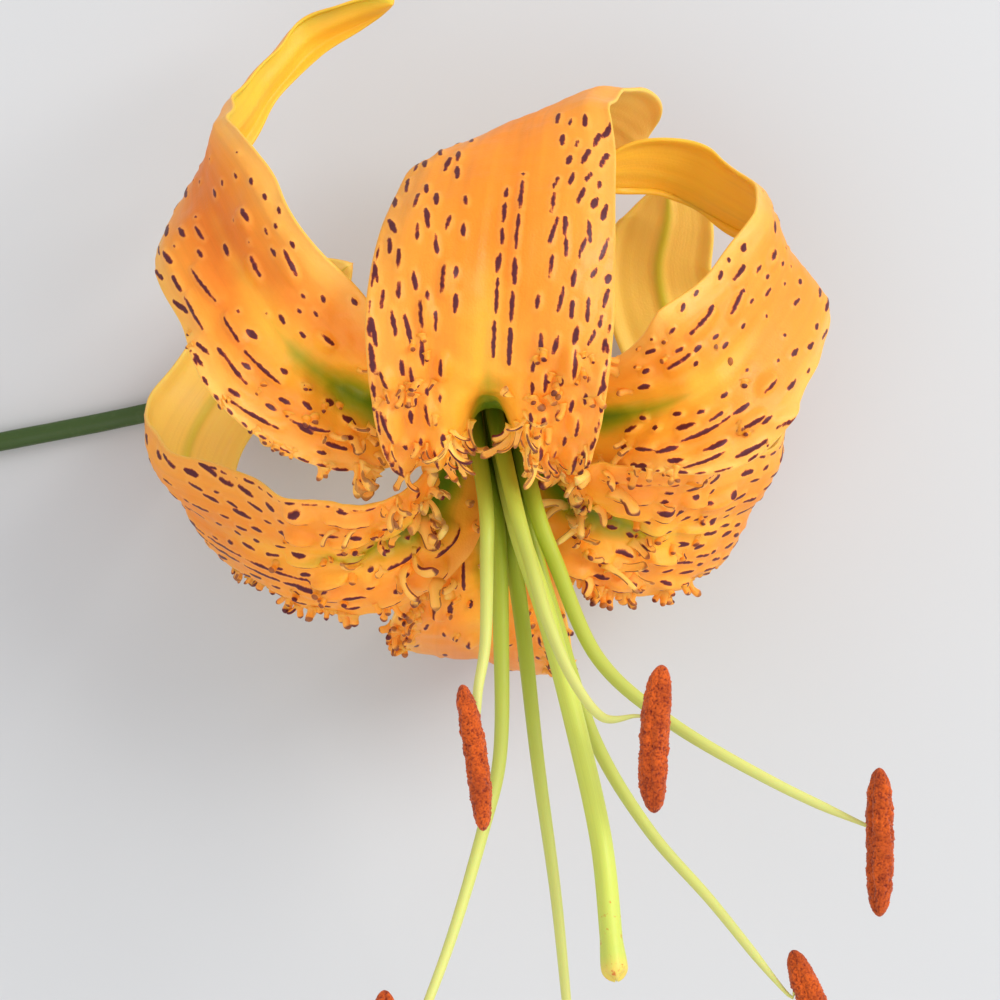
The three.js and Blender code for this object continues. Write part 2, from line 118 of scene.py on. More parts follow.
# Each tepal:
#   turn, ring  where its foot stands round the flower's axis, in degrees and mm
#   channel     strength of the deeper colour down the face's middle; set per tepal partly as painted shade
#   widen       which margin moves outward (-1 or 1), by how many mm (less than 0 moves it inward), and where
#               along the tepal this starts, is full, fades and ends
#   furrow      depth in mm of the groove down the middle near the throat
#   keel        coloured rib down the back: place across, width, strength
#   bends       stations of the midrib (x, y, z, direction of the inner face, half width, cup)
# and its zones of marks, with spans along in mm and across from -1 to 1:
#   dashes      how many, their lengths and radii
#   rows        from, to, place across, shortest and longest dash, radius
#   ridges      how many, their lengths and radii, height
#   fingers     how many, their lengths and radii, growing direction (out, across, along), thickness as a
#               share of the width, paleness, darkness of the tip
TEPALS = {
    "tepal_inner_top": {
        "channel": 0.9, "turn": 90, "ring": INNER_RING, "slot": "tepal_inner", "seed": 11,
        "furrow": 4.4, "keel": (0.0, 0.1, 0.2),
        "bends": [
            (-0.9, 5.8, 4, 0, -1, -0.1, 7.8, 2.4), (-1.1, 7.4, 10.4, 0, -0.8, 0.6, 10.4, 2.2),
            (-1, 16.2, 14.8, 0, -0.3, 0.95, 11.6, 0.8), (-0.3, 24.8, 14, 0, 0.3, 0.95, 11.2, -0.6),
            (0.8, 32.6, 8.8, -0.1, 0.7, 0.7, 10.2, -1), (2.4, 37.4, 1.6, -0.25, 0.95, 0.1, 8.9, -0.8),
            (6.2, 39.6, -6, -0.3, 0.9, -0.3, 7.4, -0.6), (11.6, 39.6, -12.4, -0.1, 0.8, -0.6, 6, -0.4),
            (15, 37.6, -17, 0, 0.5, -0.9, 1.4, 0),
        ],
        "dashes": [
            ((28, 57), (-0.95, -0.42), 33, (0.9, 2.4), (0.2, 0.28)),
            ((27, 57), (0.44, 0.95), 38, (0.9, 2.6), (0.2, 0.28)),
            ((34, 47), (-0.45, -0.26), 4, (0.8, 1.6), (0.2, 0.26)),
            ((26, 36), (0.3, 0.44), 3, (0.8, 1.8), (0.22, 0.27)),
            ((20, 29), (-0.97, -0.4), 22, (0.4, 1.3), (0.17, 0.25)),
            ((20, 29), (0.36, 0.97), 24, (0.4, 1.3), (0.17, 0.25)),
        ],
        "rows": [(30, 47, 0.04, 1.4, 3.4, 0.22), (29, 49, 0.17, 1.4, 3.8, 0.25),
                 (16, 40, -0.98, 0.8, 2.4, 0.15), (16, 34, 0.98, 0.6, 1.8, 0.15)],
        "ridges": [((27, 36), (-0.6, -0.35), 4, (1.4, 3.0), (0.5, 0.7), 0.6),
                   ((18, 28), (-0.9, -0.3), 12, (1.2, 2.8), (0.45, 0.75), 0.9),
                   ((18, 29), (0.3, 0.9), 12, (1.2, 2.8), (0.45, 0.75), 0.9)],
        "fingers": [
            ((20, 25), (-0.4, -0.21), 8, (2.4, 4.4), (0.32, 0.46), (0.6, 0.1, -1.0), 0.5, 0.5, 1.0),
            ((20, 25), (0.21, 0.4), 8, (2.4, 4.4), (0.32, 0.46), (0.6, -0.1, -1.0), 0.5, 0.5, 1.0),
            ((25.5, 26.5), (0.16, 0.22), 1, (3.4, 3.6), (0.3, 0.34), (0.8, -0.9, 0.2), 0.5, 0.5, 1.0),
            ((18, 21), (-0.5, -0.2), 9, (2.4, 4.4), (0.34, 0.5), (0.9, 0.1, -0.5), 0.42, 0.5, 1.0),
            ((18, 21), (0.2, 0.5), 9, (2.4, 4.4), (0.34, 0.5), (0.9, -0.3, -0.5), 0.42, 0.5, 1.0),
            ((18, 23), (-0.97, -0.35), 11, (1.4, 3.0), (0.32, 0.5), (0.8, -0.2, -0.7), 0.42, 0.3, 1.0),
            ((18, 23), (0.35, 0.97), 11, (1.4, 3.0), (0.32, 0.5), (0.8, 0.2, -0.7), 0.42, 0.3, 1.0),
            ((22, 28), (-0.95, -0.35), 10, (0.8, 1.9), (0.38, 0.56), (0.8, -0.2, -0.8), 0.7, 0.15, 1.0),
            ((22, 28), (0.35, 0.95), 10, (0.8, 1.9), (0.38, 0.56), (0.8, 0.2, -0.8), 0.7, 0.15, 1.0),
            ((26, 34), (-0.9, -0.4), 6, (0.6, 1.1), (0.38, 0.52), (0.9, 0, -0.7), 0.8, 0.0, 1.0),
            ((26, 34), (0.4, 0.9), 8, (0.6, 1.1), (0.38, 0.52), (0.9, 0, -0.7), 0.8, 0.0, 1.0),
        ],
    },
    "tepal_outer_left": {
        "channel": 1.0, "turn": 150, "ring": OUTER_RING, "slot": "tepal_outer", "seed": 23,
        "furrow": 1.8, "keel": (0.75, 0.5, 0.7),
        "bends": [
            (-10.8, 8.6, 2.6, 0.6, -0.5, 0.6, 5.4, 1.2), (-15.4, 10.6, 6.4, 0.25, -0.3, 0.9, 7.6, 1.6),
            (-20.4, 15, 8.4, -0.1, 0, 1, 8.6, 1.8), (-24.8, 21.4, 7.2, -0.4, 0.15, 0.9, 7.8, 1.6),
            (-28.8, 28.8, 2.2, -0.66, 0.36, 0.66, 7.8, 1.2), (-29.8, 34.6, -4.8, -0.9, 0.35, 0.1, 5.6, 0.4),
            (-27, 40, -11.6, -0.76, 0.32, -0.6, 2.9, 0.2), (-24, 45.4, -16.2, -0.5, 0.4, -0.8, 2.2, 0),
            (-20.6, 49.4, -18.2, -0.35, 0.5, -0.8, 2.1, 0), (-15.6, 51.8, -17.6, -0.2, 0.6, -0.8, 1.8, 0),
            (-11.2, 52.8, -15.4, -0.2, 0.6, -0.8, 0.8, 0),
        ],
        "dashes": [
            ((30, 56), (-0.93, -0.66), 11, (0.8, 2.6), (0.22, 0.3)),
            ((26, 50), (0.1, 0.92), 17, (0.2, 1.0), (0.17, 0.27)),
            ((36, 54), (-0.5, 0.3), 5, (0.4, 3.4), (0.18, 0.26)),
            ((19, 32), (-0.85, -0.2), 20, (0.5, 1.8), (0.2, 0.3)),
            ((30, 60), (-0.9, 0.9), 12, (0.1, 0.4), (0.1, 0.15)),
        ],
        "rows": [(18, 34, -0.98, 0.4, 1.2, 0.16)],
        "ridges": [((21, 38), (-0.8, -0.3), 7, (2.0, 5.5), (0.5, 0.75), 0.55),
                   ((24, 42), (0.0, 0.6), 4, (1.6, 3.6), (0.6, 0.9), 0.6)],
        "fingers": [
            ((14, 20), (-1.0, -0.8), 4, (2.6, 4.2), (0.7, 1.0), (0.3, -1.0, 0.1), 0.45, 0.5, 0.8),
            ((15, 26), (-1.0, -0.88), 10, (1.0, 2.2), (0.34, 0.5), (0.4, -1.0, 0.0), 0.7, 0.2, 1.0),
            ((15, 22), (-0.8, -0.2), 9, (1.0, 2.4), (0.36, 0.56), (1.0, -0.3, -0.5), 0.6, 0.4, 0.8),
            ((14, 22), (0.3, 0.9), 8, (0.8, 1.8), (0.32, 0.5), (1.0, 0.2, -0.3), 0.6, 0.3, 0.8),
            ((22, 36), (-1.0, -0.9), 9, (0.4, 0.9), (0.36, 0.5), (0.6, -1.0, 0.0), 0.8, 0.1, 1.0),
            ((20, 34), (-0.85, -0.2), 8, (0.4, 1.0), (0.4, 0.6), (1.0, -0.4, -0.3), 0.75, 0.0, 1.0),
        ],
    },
    "tepal_outer_right": {
        "channel": 0.2, "turn": 30, "ring": OUTER_RING, "slot": "tepal_outer", "seed": 37,
        "widen": (1, -3.2, 48, 58, 68, 77), "furrow": 1.8, "keel": (0.0, 0.12, 0.12),
        "bends": [
            (9.2, 7.8, 0.6, -0.5, -0.5, 0.7, 5, 0.6), (14, 8.7, 5.6, -0.15, -0.05, 0.97, 5.9, 0.4),
            (20, 11.1, 7.6, 0.1, -0.1, 1, 8.6, 0.8), (25.4, 16.8, 4.2, 0.5, 0.1, 0.85, 7.6, 1),
            (29.4, 23.4, -2.2, 0.8, 0.35, 0.45, 7.5, 0.8), (27.6, 28, -8.4, 0.8, 0.5, -0.2, 6.2, 0.4),
            (22.6, 31.4, -11.8, 0.4, 0.55, -0.7, 5.4, 0.2), (18.8, 33.4, -12.6, 0.1, 0.6, -0.8, 5.2, 0),
            (14, 34.2, -11.4, 0, 0.6, -0.8, 4.2, 0), (9.6, 34, -9.4, 0, 0.6, -0.8, 1.6, 0),
        ],
        "dashes": [
            ((22, 42), (-0.93, -0.2), 22, (0.2, 1.2), (0.17, 0.28)),
            ((26, 48), (0.5, 0.93), 12, (0.6, 2.2), (0.22, 0.3)),
            ((18, 30), (0.1, 0.9), 16, (0.4, 1.8), (0.2, 0.28)),
            ((40, 54), (-0.8, 0.6), 8, (0.3, 1.4), (0.17, 0.25)),
            ((28, 56), (-0.9, 0.9), 12, (0.1, 0.3), (0.1, 0.15)),
        ],
        "rows": [(18, 30, 0.98, 0.4, 1.2, 0.16)],
        "ridges": [((24, 44), (-0.75, -0.3), 5, (1.6, 3.6), (0.5, 0.8), 0.55),
                   ((20, 34), (0.35, 0.85), 7, (1.6, 4.0), (0.5, 0.8), 0.6)],
        "fingers": [
            ((14, 22), (-0.95, -0.3), 9, (1.0, 2.4), (0.34, 0.52), (0.9, -0.3, -0.4), 0.65, 0.2, 0.9),
            ((14, 24), (0.88, 1.0), 10, (0.8, 2.0), (0.34, 0.52), (0.5, 1.0, 0.0), 0.7, 0.2, 0.9),
            ((14, 21), (0.3, 0.85), 9, (1.0, 2.2), (0.32, 0.5), (0.9, 0.3, -0.4), 0.6, 0.4, 0.8),
            ((22, 36), (-0.9, 0.9), 9, (0.4, 0.9), (0.36, 0.55), (1.0, 0, -0.4), 0.8, 0.0, 1.0),
        ],
    },
    "tepal_inner_left": {
        "channel": 0.9, "turn": 210, "ring": INNER_RING, "slot": "tepal_inner", "seed": 41,
        "furrow": 1.6, "keel": (0.0, 0.11, 0.75),
        "bends": [
            (-6.6, -1.4, -2.4, 0.45, -0.4, 0.8, 5.6, 1.2), (-12, -5.2, -0.8, 0.1, -0.6, 0.8, 6.8, 0.8),
            (-19.6, -5.8, -2.6, -0.12, -0.66, 0.75, 7.8, 0.2),
            (-26.8, -3.6, -7, -0.45, -0.62, 0.62, 7.8, -0.2),
            (-33.2, -0.2, -13.4, -0.8, -0.55, 0.15, 7.6, -0.4), (-34.4, 4.4, -20, -0.8, -0.35, -0.5, 7, -0.4),
            (-32, 10.2, -24.8, -0.45, -0.05, -0.9, 5.8, -0.2), (-26.8, 16.6, -26.4, -0.2, 0.15, -0.95, 6, 0),
            (-21, 22, -24.8, 0, 0.2, -1, 4.6, 0), (-16, 25.4, -21.2, 0.2, 0.2, -1, 1, 0),
        ],
        "dashes": [
            ((24, 58), (0.05, 0.93), 46, (0.6, 2.2), (0.2, 0.3)),
            ((26, 58), (-0.9, -0.6), 30, (0.6, 2.2), (0.2, 0.28)),
            ((26, 58), (-0.25, 0.05), 9, (0.6, 2.0), (0.2, 0.28)),
            ((18, 26), (-0.8, 0.8), 14, (0.3, 1.0), (0.2, 0.26)),
        ],
        "rows": [(31, 54, -0.32, 4.0, 9.0, 0.2), (30, 50, -0.48, 3.0, 8.0, 0.22),
                 (22, 44, 0.97, 0.4, 1.6, 0.14)],
        "ridges": [((14, 31), (-0.85, 0.8), 15, (1.6, 4.0), (0.5, 0.9), 1.0)],
        "fingers": [
            ((14.5, 19), (-0.6, 0.95), 10, (2.8, 5.0), (0.4, 0.6), (0.9, 0.3, 0.2), 0.4, 0.8, 0.6),
            ((13, 24), (-0.95, 0.95), 15, (2.4, 5.0), (0.4, 0.9), (0.7, 0.2, 0.8), 0.24, 0.4, 1.0),
            ((20, 28), (-0.95, 0.95), 12, (1.4, 3.2), (0.28, 0.45), (0.8, -0.1, 0.6), 0.36, 0.35, 0.9),
            ((22, 46), (-1.0, -0.9), 30, (0.8, 2.2), (0.36, 0.54), (0.45, -1.0, 0.1), 0.75, 0.1, 1.0),
            ((25, 36), (-0.85, 0.3), 14, (0.6, 1.4), (0.36, 0.52), (1.0, -0.3, -0.3), 0.75, 0.0, 1.0),
        ],
    },
    "tepal_inner_right": {
        "channel": 0.6, "turn": 330, "ring": INNER_RING, "slot": "tepal_inner", "seed": 59,
        "widen": (-1, 1.5, 15, 20, 28, 34), "furrow": 1.6, "keel": (0.0, 0.11, 1.0),
        "bends": [
            (6.8, -0.6, -2.8, -0.45, -0.38, 0.8, 5.4, 1.2), (11.8, -2.9, -2.2, -0.1, -0.6, 0.8, 7.1, 0.8),
            (17.6, -3.6, -5, 0.2, -0.65, 0.75, 8.6, 0.4), (22.8, -2.4, -9.2, 0.45, -0.65, 0.6, 8.2, 0.2),
            (26.6, -0.3, -14.2, 0.8, -0.55, 0.2, 7.8, 0), (25.8, 4, -20, 0.8, -0.35, -0.45, 7.4, -0.2),
            (24.2, 9.4, -25.2, 0.55, -0.1, -0.8, 7, -0.2), (21.4, 15.2, -29, 0.3, 0.1, -0.95, 6.6, 0),
            (18.6, 20.6, -30.2, 0.1, 0.2, -0.98, 6.2, 0), (17.5, 25.8, -28.6, 0.1, 0.3, -0.95, 5.8, 0),
            (18.2, 31, -24.8, 0, 0.3, -0.95, 4.8, 0), (17.8, 34.4, -21.2, 0, 0.3, -0.95, 1, 0),
        ],
        "dashes": [
            ((22, 54), (0.05, 0.93), 58, (0.5, 2.0), (0.19, 0.28)),
            ((24, 54), (-0.93, -0.05), 48, (0.5, 2.0), (0.19, 0.28)),
        ],
        "rows": [(20, 44, -0.97, 0.4, 1.6, 0.14)],
        "ridges": [((14, 32), (-0.8, 0.85), 17, (1.6, 4.0), (0.5, 0.9), 1.0)],
        "fingers": [
            ((14.5, 19), (-0.95, 0.6), 10, (2.8, 5.0), (0.4, 0.6), (0.9, -0.3, 0.2), 0.4, 0.8, 0.6),
            ((13, 24), (-0.95, 0.95), 15, (2.4, 5.0), (0.4, 0.9), (0.7, -0.2, 0.8), 0.24, 0.4, 1.0),
            ((19, 27), (-0.95, 0.95), 12, (1.4, 3.2), (0.28, 0.45), (0.8, 0.1, 0.6), 0.36, 0.35, 0.9),
            ((19, 36), (0.9, 1.0), 26, (0.9, 2.4), (0.36, 0.54), (0.45, 1.0, 0.1), 0.75, 0.1, 1.0),
            ((34, 52), (0.9, 1.0), 12, (0.4, 0.9), (0.3, 0.44), (0.45, 1.0, 0.1), 0.75, 0.1, 1.0),
            ((21, 34), (-0.3, 0.85), 18, (0.6, 1.4), (0.36, 0.52), (1.0, 0.3, -0.3), 0.75, 0.0, 1.0),
        ],
    },
    "tepal_outer_bottom": {
        "channel": 0.7, "turn": 270, "ring": OUTER_RING, "slot": "tepal_outer", "seed": 73,
        "furrow": 1.4, "keel": (0.0, 0.12, 0.3),
        "bends": [
            (-1, -4.6, -7.8, -0.05, 0.2, 0.98, 6.4, 1.2), (-1.6, -10.6, -9, -0.1, -0.4, 0.9, 8.6, 1.2),
            (-2, -15, -14, -0.15, -0.85, 0.5, 9.6, 0.8), (-2, -17, -21.2, -0.15, -1, 0, 9.2, 0.4),
            (-1.6, -15.6, -28.4, -0.1, -0.85, -0.5, 8, 0), (-1, -11, -33.4, 0, -0.4, -0.9, 6.6, 0),
            (-0.4, -4.2, -34.2, 0, 0, -1, 5.4, 0), (0, 3, -32.4, 0, 0.2, -1, 3.8, 0),
            (0, 8.8, -29, 0, 0.2, -1, 1, 0),
        ],
        "dashes": [
            ((20, 44), (-0.93, -0.15), 12, (0.4, 1.6), (0.2, 0.28)),
            ((20, 44), (0.15, 0.93), 12, (0.4, 1.6), (0.2, 0.28)),
        ],
        "rows": [],
        "ridges": [((14, 30), (-0.85, 0.85), 14, (1.2, 3.4), (0.5, 0.9), 0.9)],
        "fingers": [
            ((13, 22), (-0.95, 0.95), 18, (1.8, 4.0), (0.4, 0.8), (1.0, 0, 0.3), 0.3, 0.45, 1.0),
            ((22, 34), (-1.0, -0.7), 32, (0.9, 2.4), (0.36, 0.54), (0.8, -0.8, 0.1), 0.7, 0.1, 1.0),
            ((22, 34), (0.7, 1.0), 30, (0.9, 2.4), (0.36, 0.54), (0.8, 0.8, 0.1), 0.7, 0.1, 1.0),
            ((18, 30), (-0.6, 0.6), 10, (0.7, 1.6), (0.36, 0.52), (1.0, 0, -0.3), 0.75, 0.1, 1.0),
        ],
    },
}

# Each stamen: where it stands in degrees, the filament's bends, the anther's own direction, the side of the
# filament it stands on, and how far its middle is shifted along itself.
STAMENS = [
    (150, [(-1.4, -0.4, 4.0), (-1.3, -6.0, 7.0), (-1.4, -13.6, 11.4), (-2.1, -18.2, 13.8),
           (-2.3, -22.4, 15.2)], (0.15, -1, 0.1), (-0.1, 0.1, 1), 1.9),
    (210, [(-0.4, -2.0, 1.2), (0.1, -13.8, 5.6), (0, -24.4, 10.2), (-1.6, -31.4, 13.4), (-4.8, -41.8, 17.6),
           (-8.6, -51.0, 21.0)], (-0.05, -1, 0.15), (-1, 0, 0.2), 1.4),
    (270, [(0.8, -3.0, -0.2), (2.1, -11.4, 2.6), (3.6, -25.0, 7.4), (5.4, -38.2, 11.0), (6.8, -52.0, 14.4)],
     (-0.15, -1, 0.1), (0.6, 0, 0.8), 4.0),
    (90, [(1.3, 0.2, 5.2), (2.9, -5.8, 8.6), (4.5, -11.4, 11.6), (6.8, -16.8, 14.4), (9.6, -20.4, 16.6),
          (12.6, -20.2, 18.0)], (-0.06, -1, 0.1), (1, 0, 0.35), 2.0),
    (30, [(3.4, -0.4, 2.4), (5.4, -6.0, 4.4), (9.4, -15.2, 8.4), (16.2, -21.2, 11.6), (26.0, -26.8, 14.4),
          (34.4, -30.6, 16.4)], (-0.02, -1, 0.15), (0.55, 0, 0.85), 1.6),
    (330, [(3.0, -3.4, 0.2), (5.6, -12.4, 1.8), (9.2, -23.4, 4.6), (14.4, -32.0, 6.8), (20.6, -39.0, 8.8),
           (27.4, -47.2, 11.4)], (0.4, -0.9, 0.15), (0.9, 0.4, 0.3), 3.5),
]
PISTIL_BENDS = [(1.6, -2.2, 3.2), (4.6, -11.4, 7.0), (7.4, -22.2, 11.4), (9.6, -32.4, 15.2),
                (10.5, -42.0, 18.4), (10.9, -45.2, 19.4)]
STEM_BENDS = [(-5.0, 20.6, -20.2), (-12.6, 18.6, -27.6), (-25.0, 13.8, -32.2), (-39.0, 9.9, -33.6),
              (-39.0 - STEM_REACH / 2, 3.6, -34.0), (-39.0 - STEM_REACH, -4.4, -34.0)]


# ---- curves and surfaces --------------------------------------------------------------------------------
def smooth_curve(points, shares):
    """Points on a smooth curve through the given ones, at shares of its steps, and its slopes there."""
    points = np.asarray(points, float)
    padded = np.vstack([2 * points[0] - points[1], points, 2 * points[-1] - points[-2]])
    place = np.clip(shares, 0, 1) * (len(points) - 1)
    step = np.minimum(place.astype(int), len(points) - 2)
    f = (place - step)[:, None]
    a, b, c, d = (padded[step + k] for k in range(4))
    start, end = (c - a) / 2, (d - b) / 2
    at = (2 * f**3 - 3 * f**2 + 1) * b + (f**3 - 2 * f**2 + f) * start
    at = at + (3 * f**2 - 2 * f**3) * c + (f**3 - f**2) * end
    way = (6 * f**2 - 6 * f) * b + (3 * f**2 - 4 * f + 1) * start
    way = way + (6 * f - 6 * f**2) * c + (3 * f**2 - 2 * f) * end
    return at, way


def smooth_path(points, shares):
    """Points and directions on a smooth curve through the given ones, at shares of its steps."""
    at, way = smooth_curve(points, shares)
    return at, unit(way)


def even_shares(points, count):
    """Shares that space points evenly by length, and the distance of each along the curve."""
    fine = np.linspace(0, 1, CURVE_STEPS)
    at, _ = smooth_curve(points, fine)
    run = np.concatenate([[0], np.cumsum(np.linalg.norm(np.diff(at, axis=0), axis=1))])
    wanted = np.linspace(0, run[-1], count)
    return np.interp(wanted, run, fine), wanted


def ramp(value, low, high):
    """Smooth step from 0 at low to 1 at high."""
    x = np.clip((value - low) / (high - low), 0, 1)
    return x * x * (3 - 2 * x)


def bell(value, width):
    """1 where the value is 0, falling off softly over the width to both sides."""
    return np.exp(-((value / width) ** 2))


def uneven(rng, x, y, size, waves=9):
    """Soft irregular ripples over a surface, about size across, between -1 and 1."""
    total = np.zeros(np.broadcast(x, y).shape)
    for _ in range(waves):
        turn = rng.uniform(0, 2 * math.pi)
        pace = 2 * math.pi / (size * rng.uniform(0.6, 1.6))
        total += np.sin(pace * (x * math.cos(turn) + y * math.sin(turn)) + rng.uniform(0, 2 * math.pi))
    return total / math.sqrt(waves * 2)


def tube_faces(rows, sides):
    """Faces between rings of points, closed over the two points that follow them, one at either end."""
    i = np.arange(rows - 1)[:, None] * sides
    j = np.arange(sides)[None, :]
    k = (j + 1) % sides
    quads = np.stack([i + j, i + k, i + k + sides, i + j + sides], axis=-1).reshape(-1, 4)
    start, end, last = rows * sides, rows * sides + 1, (rows - 1) * sides
    around = [(k, (k + 1) % sides) for k in range(sides)]
    caps = [(last + k, last + n, end) for k, n in around] + [(n, k, start) for k, n in around]
    return [tuple(face) for face in quads.tolist()] + caps


def carried_frame(ways, start):
    """Two directions square to a curve, carried along it without twisting."""
    first = []
    held = np.asarray(start, float)
    for way in ways:
        held = unit(held - way * (held @ way))
        first.append(held)
    first = np.array(first)
    return first, np.cross(ways, first)


class Shape:
    """Vertices, faces and per-vertex values of one piece while it is put together."""

    def __init__(self):
        self.points, self.faces, self.values, self.count = [], [], {}, 0

    def add(self, points, faces, **values):
        """Adds points, their faces and the values they carry; one number stands for all the points."""
        points = np.asarray(points, float).reshape(-1, 3)
        self.faces += [tuple(v + self.count for v in face) for face in faces]
        self.points.append(points)
        for name, value in values.items():
            value = np.asarray(value, float).ravel()
            self.values.setdefault(name, []).append(np.broadcast_to(value, len(points)))
        self.count += len(points)

    def build(self, name, node, slot, material):
        """Makes the object that takes the place of a node of the frame."""
        mesh = bpy.data.meshes.new(name)
        points = (np.vstack(self.points) + FLOWER_MIDDLE) * MM
        mesh.from_pydata(points.tolist(), [], self.faces)
        for key, parts in self.values.items():
            data = mesh.attributes.new(key, "FLOAT", "POINT")
            data.data.foreach_set("value", np.concatenate(parts).astype(np.float32))
        mesh.shade_smooth()
        mesh.update()
        mesh.materials.append(material)
        piece = bpy.data.objects.new(name, mesh)
        bpy.context.scene.collection.objects.link(piece)
        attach(piece, "root")
        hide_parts(node)
        return piece


def anther_layout(stamen):
    """Points of the filament, the anther's middle and direction, and the way from the one to the other."""
    turn, bends, lean, stands, shift = stamen
    foot = SEAT + AXIS * FOOT_LIFT + outward(turn) * FILAMENT_RING
    rise = foot + AXIS * CLAW_LENGTH + outward(turn) * STAMEN_SPLAY
    lean = unit(lean)
    clear = np.asarray(stands, float)
    clear = unit(clear - lean * (clear @ lean))
    middle = np.asarray(bends[-1]) + clear * (ANTHER_RADIUS + ANTHER_TIP_GAP) + lean * shift
    return [foot, rise, *map(np.asarray, bends)], middle, lean, clear


def middle_of(node):
    """Middle of a node's box in the frame, in mm."""
    low, high = (np.array(corner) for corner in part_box(node))
    return (low + high) / 2 / MM


# Where the middle of the flower's throat stands in the frame, in mm
FLOWER_MIDDLE = middle_of("anther_1") - anther_layout(STAMENS[0])[1]


# ---- shader helpers --------------------------------------------------------------------------------------
class Graph:
    """Short ways to place nodes in one shader tree."""

    def __init__(self, tree):
        self.tree = tree

    def add(self, kind, inputs=None, **settings):
        node = self.tree.nodes.new(kind)
        for name, value in settings.items():
            setattr(node, name, value)
        self.fill(node, inputs or {})
        return node

    def fill(self, node, inputs):
        """Links or sets several inputs of a node by name."""
        for name, value in inputs.items():
            self.put(node.inputs[name], value)

    def put(self, socket, value):
        """Links a socket to another one, or sets its own value."""
        if isinstance(value, bpy.types.NodeSocket):
            self.tree.links.new(value, socket)
        else:
            socket.default_value = value

    def attribute(self, name):
        return self.add("ShaderNodeAttribute", attribute_name=name).outputs["Fac"]

    def math(self, operation, a, b=0.0):
        node = self.add("ShaderNodeMath", operation=operation)
        self.put(node.inputs[0], a)
        self.put(node.inputs[1], b)
        return node.outputs[0]

    def band(self, value, low, high, start=0.0, end=1.0):
        """Smooth step of a value from start at low to end at high."""
        node = self.add("ShaderNodeMapRange", interpolation_type="SMOOTHSTEP")
        for socket, number in zip(node.inputs, (value, low, high, start, end)):
            self.put(socket, number)
        return node.outputs[0]

    def mix(self, share, a, b, blend="MIX"):
        """Colour a turning into colour b; sockets 6 and 7 and output 2 are the node's ones for colours."""
        node = self.add("ShaderNodeMix", data_type="RGBA", blend_type=blend)
        for socket, value in ((0, share), (6, a), (7, b)):
            self.put(node.inputs[socket], value)
        return node.outputs[2]

    def scaled(self, value, factor):
        return self.math("MULTIPLY", value, factor)

    def swing(self, value, middle, factor):
        """A value less its middle, times a factor."""
        return self.scaled(self.math("SUBTRACT", value, middle), factor)

    def noise(self, vector, scale, detail=3.0, roughness=0.5):
        inputs = {"Vector": vector, "Scale": scale, "Detail": detail, "Roughness": roughness}
        return self.add("ShaderNodeTexNoise", inputs).outputs["Fac"]

    def vector(self, x, y, z=0.0):
        node = self.add("ShaderNodeCombineXYZ")
        for socket, value in zip(node.inputs, (x, y, z)):
            self.put(socket, value)
        return node.outputs[0]

    def place(self):
        return self.add("ShaderNodeTexCoord").outputs["Object"]

    def group(self, tree, **inputs):
        node = self.add("ShaderNodeGroup")
        node.node_tree = tree
        self.fill(node, inputs)
        return node.outputs


def new_group(name, inputs, outputs):
    """An empty shader group with named sockets, and its input and output nodes."""
    tree = bpy.data.node_groups.new(name, "ShaderNodeTree")
    for side, sockets in (("INPUT", inputs), ("OUTPUT", outputs)):
        for label, kind in sockets.items():
            tree.interface.new_socket(label, in_out=side, socket_type=f"NodeSocket{kind}")
    graph = Graph(tree)
    return tree, graph, graph.add("NodeGroupInput").outputs, graph.add("NodeGroupOutput").inputs


def paint(colour):
    """A colour property as the four numbers that a colour socket takes."""
    return (*colour[:3], 1.0)


def tissue_group():
    """Soft plant flesh: uneven tone along the veins, and a fine cell relief."""
    found = bpy.data.node_groups.get("Plant Tissue")
    if found:
        return found
    tree, g, given, gives = new_group(
        "Plant Tissue",
        {"Colour": "Color", "Streaks": "Float", "Mottle": "Float", "Cells": "Float"},
        {"Colour": "Color", "Roughness": "Float", "Height": "Float"},
    )
    along, across = g.attribute("along"), g.attribute("across")
    lines = g.noise(g.vector(g.scaled(across, 16.0), g.scaled(along, 2.2)), 1.0, 4.0, 0.6)
    cloud = g.noise(g.place(), 170.0, 2.0)
    cells = g.noise(g.place(), 4200.0, 1.0)
    tone = g.swing(lines, 0.5, given["Streaks"])
    tone = g.math("ADD", tone, g.swing(cloud, 0.5, given["Mottle"]))
    light = g.math("ADD", 1.0, tone)
    g.put(gives["Colour"], g.mix(1.0, given["Colour"], g.vector(light, light, light), "MULTIPLY"))
    g.put(gives["Roughness"], g.band(cloud, 0.3, 0.7, 0.4, 0.54))
    relief = g.scaled(cells, given["Cells"])
    g.put(gives["Height"], g.math("ADD", relief, g.scaled(lines, 0.6)))
    return tree


def new_material(name):
    """A material, the means to place its nodes, and its shader."""
    material = bpy.data.materials.new(name)
    material.use_nodes = True
    tree = material.node_tree
    return material, Graph(tree), tree.nodes["Principled BSDF"]


def dress(g, shader, tissue, flesh, bump, soft=0.25):
    """Joins a tissue group's outputs to the shader; flesh is how far light travels inside, in metres."""
    relief = g.add("ShaderNodeBump", {"Strength": 0.35, "Distance": bump, "Height": tissue["Height"]})
    g.fill(shader, {
        "Base Color": tissue["Colour"], "Roughness": tissue["Roughness"], "Specular IOR Level": 0.35,
        "Subsurface Weight": soft, "Subsurface Radius": (1.0, 0.45, 0.15), "Subsurface Scale": flesh,
        "Normal": relief.outputs[0],
    })


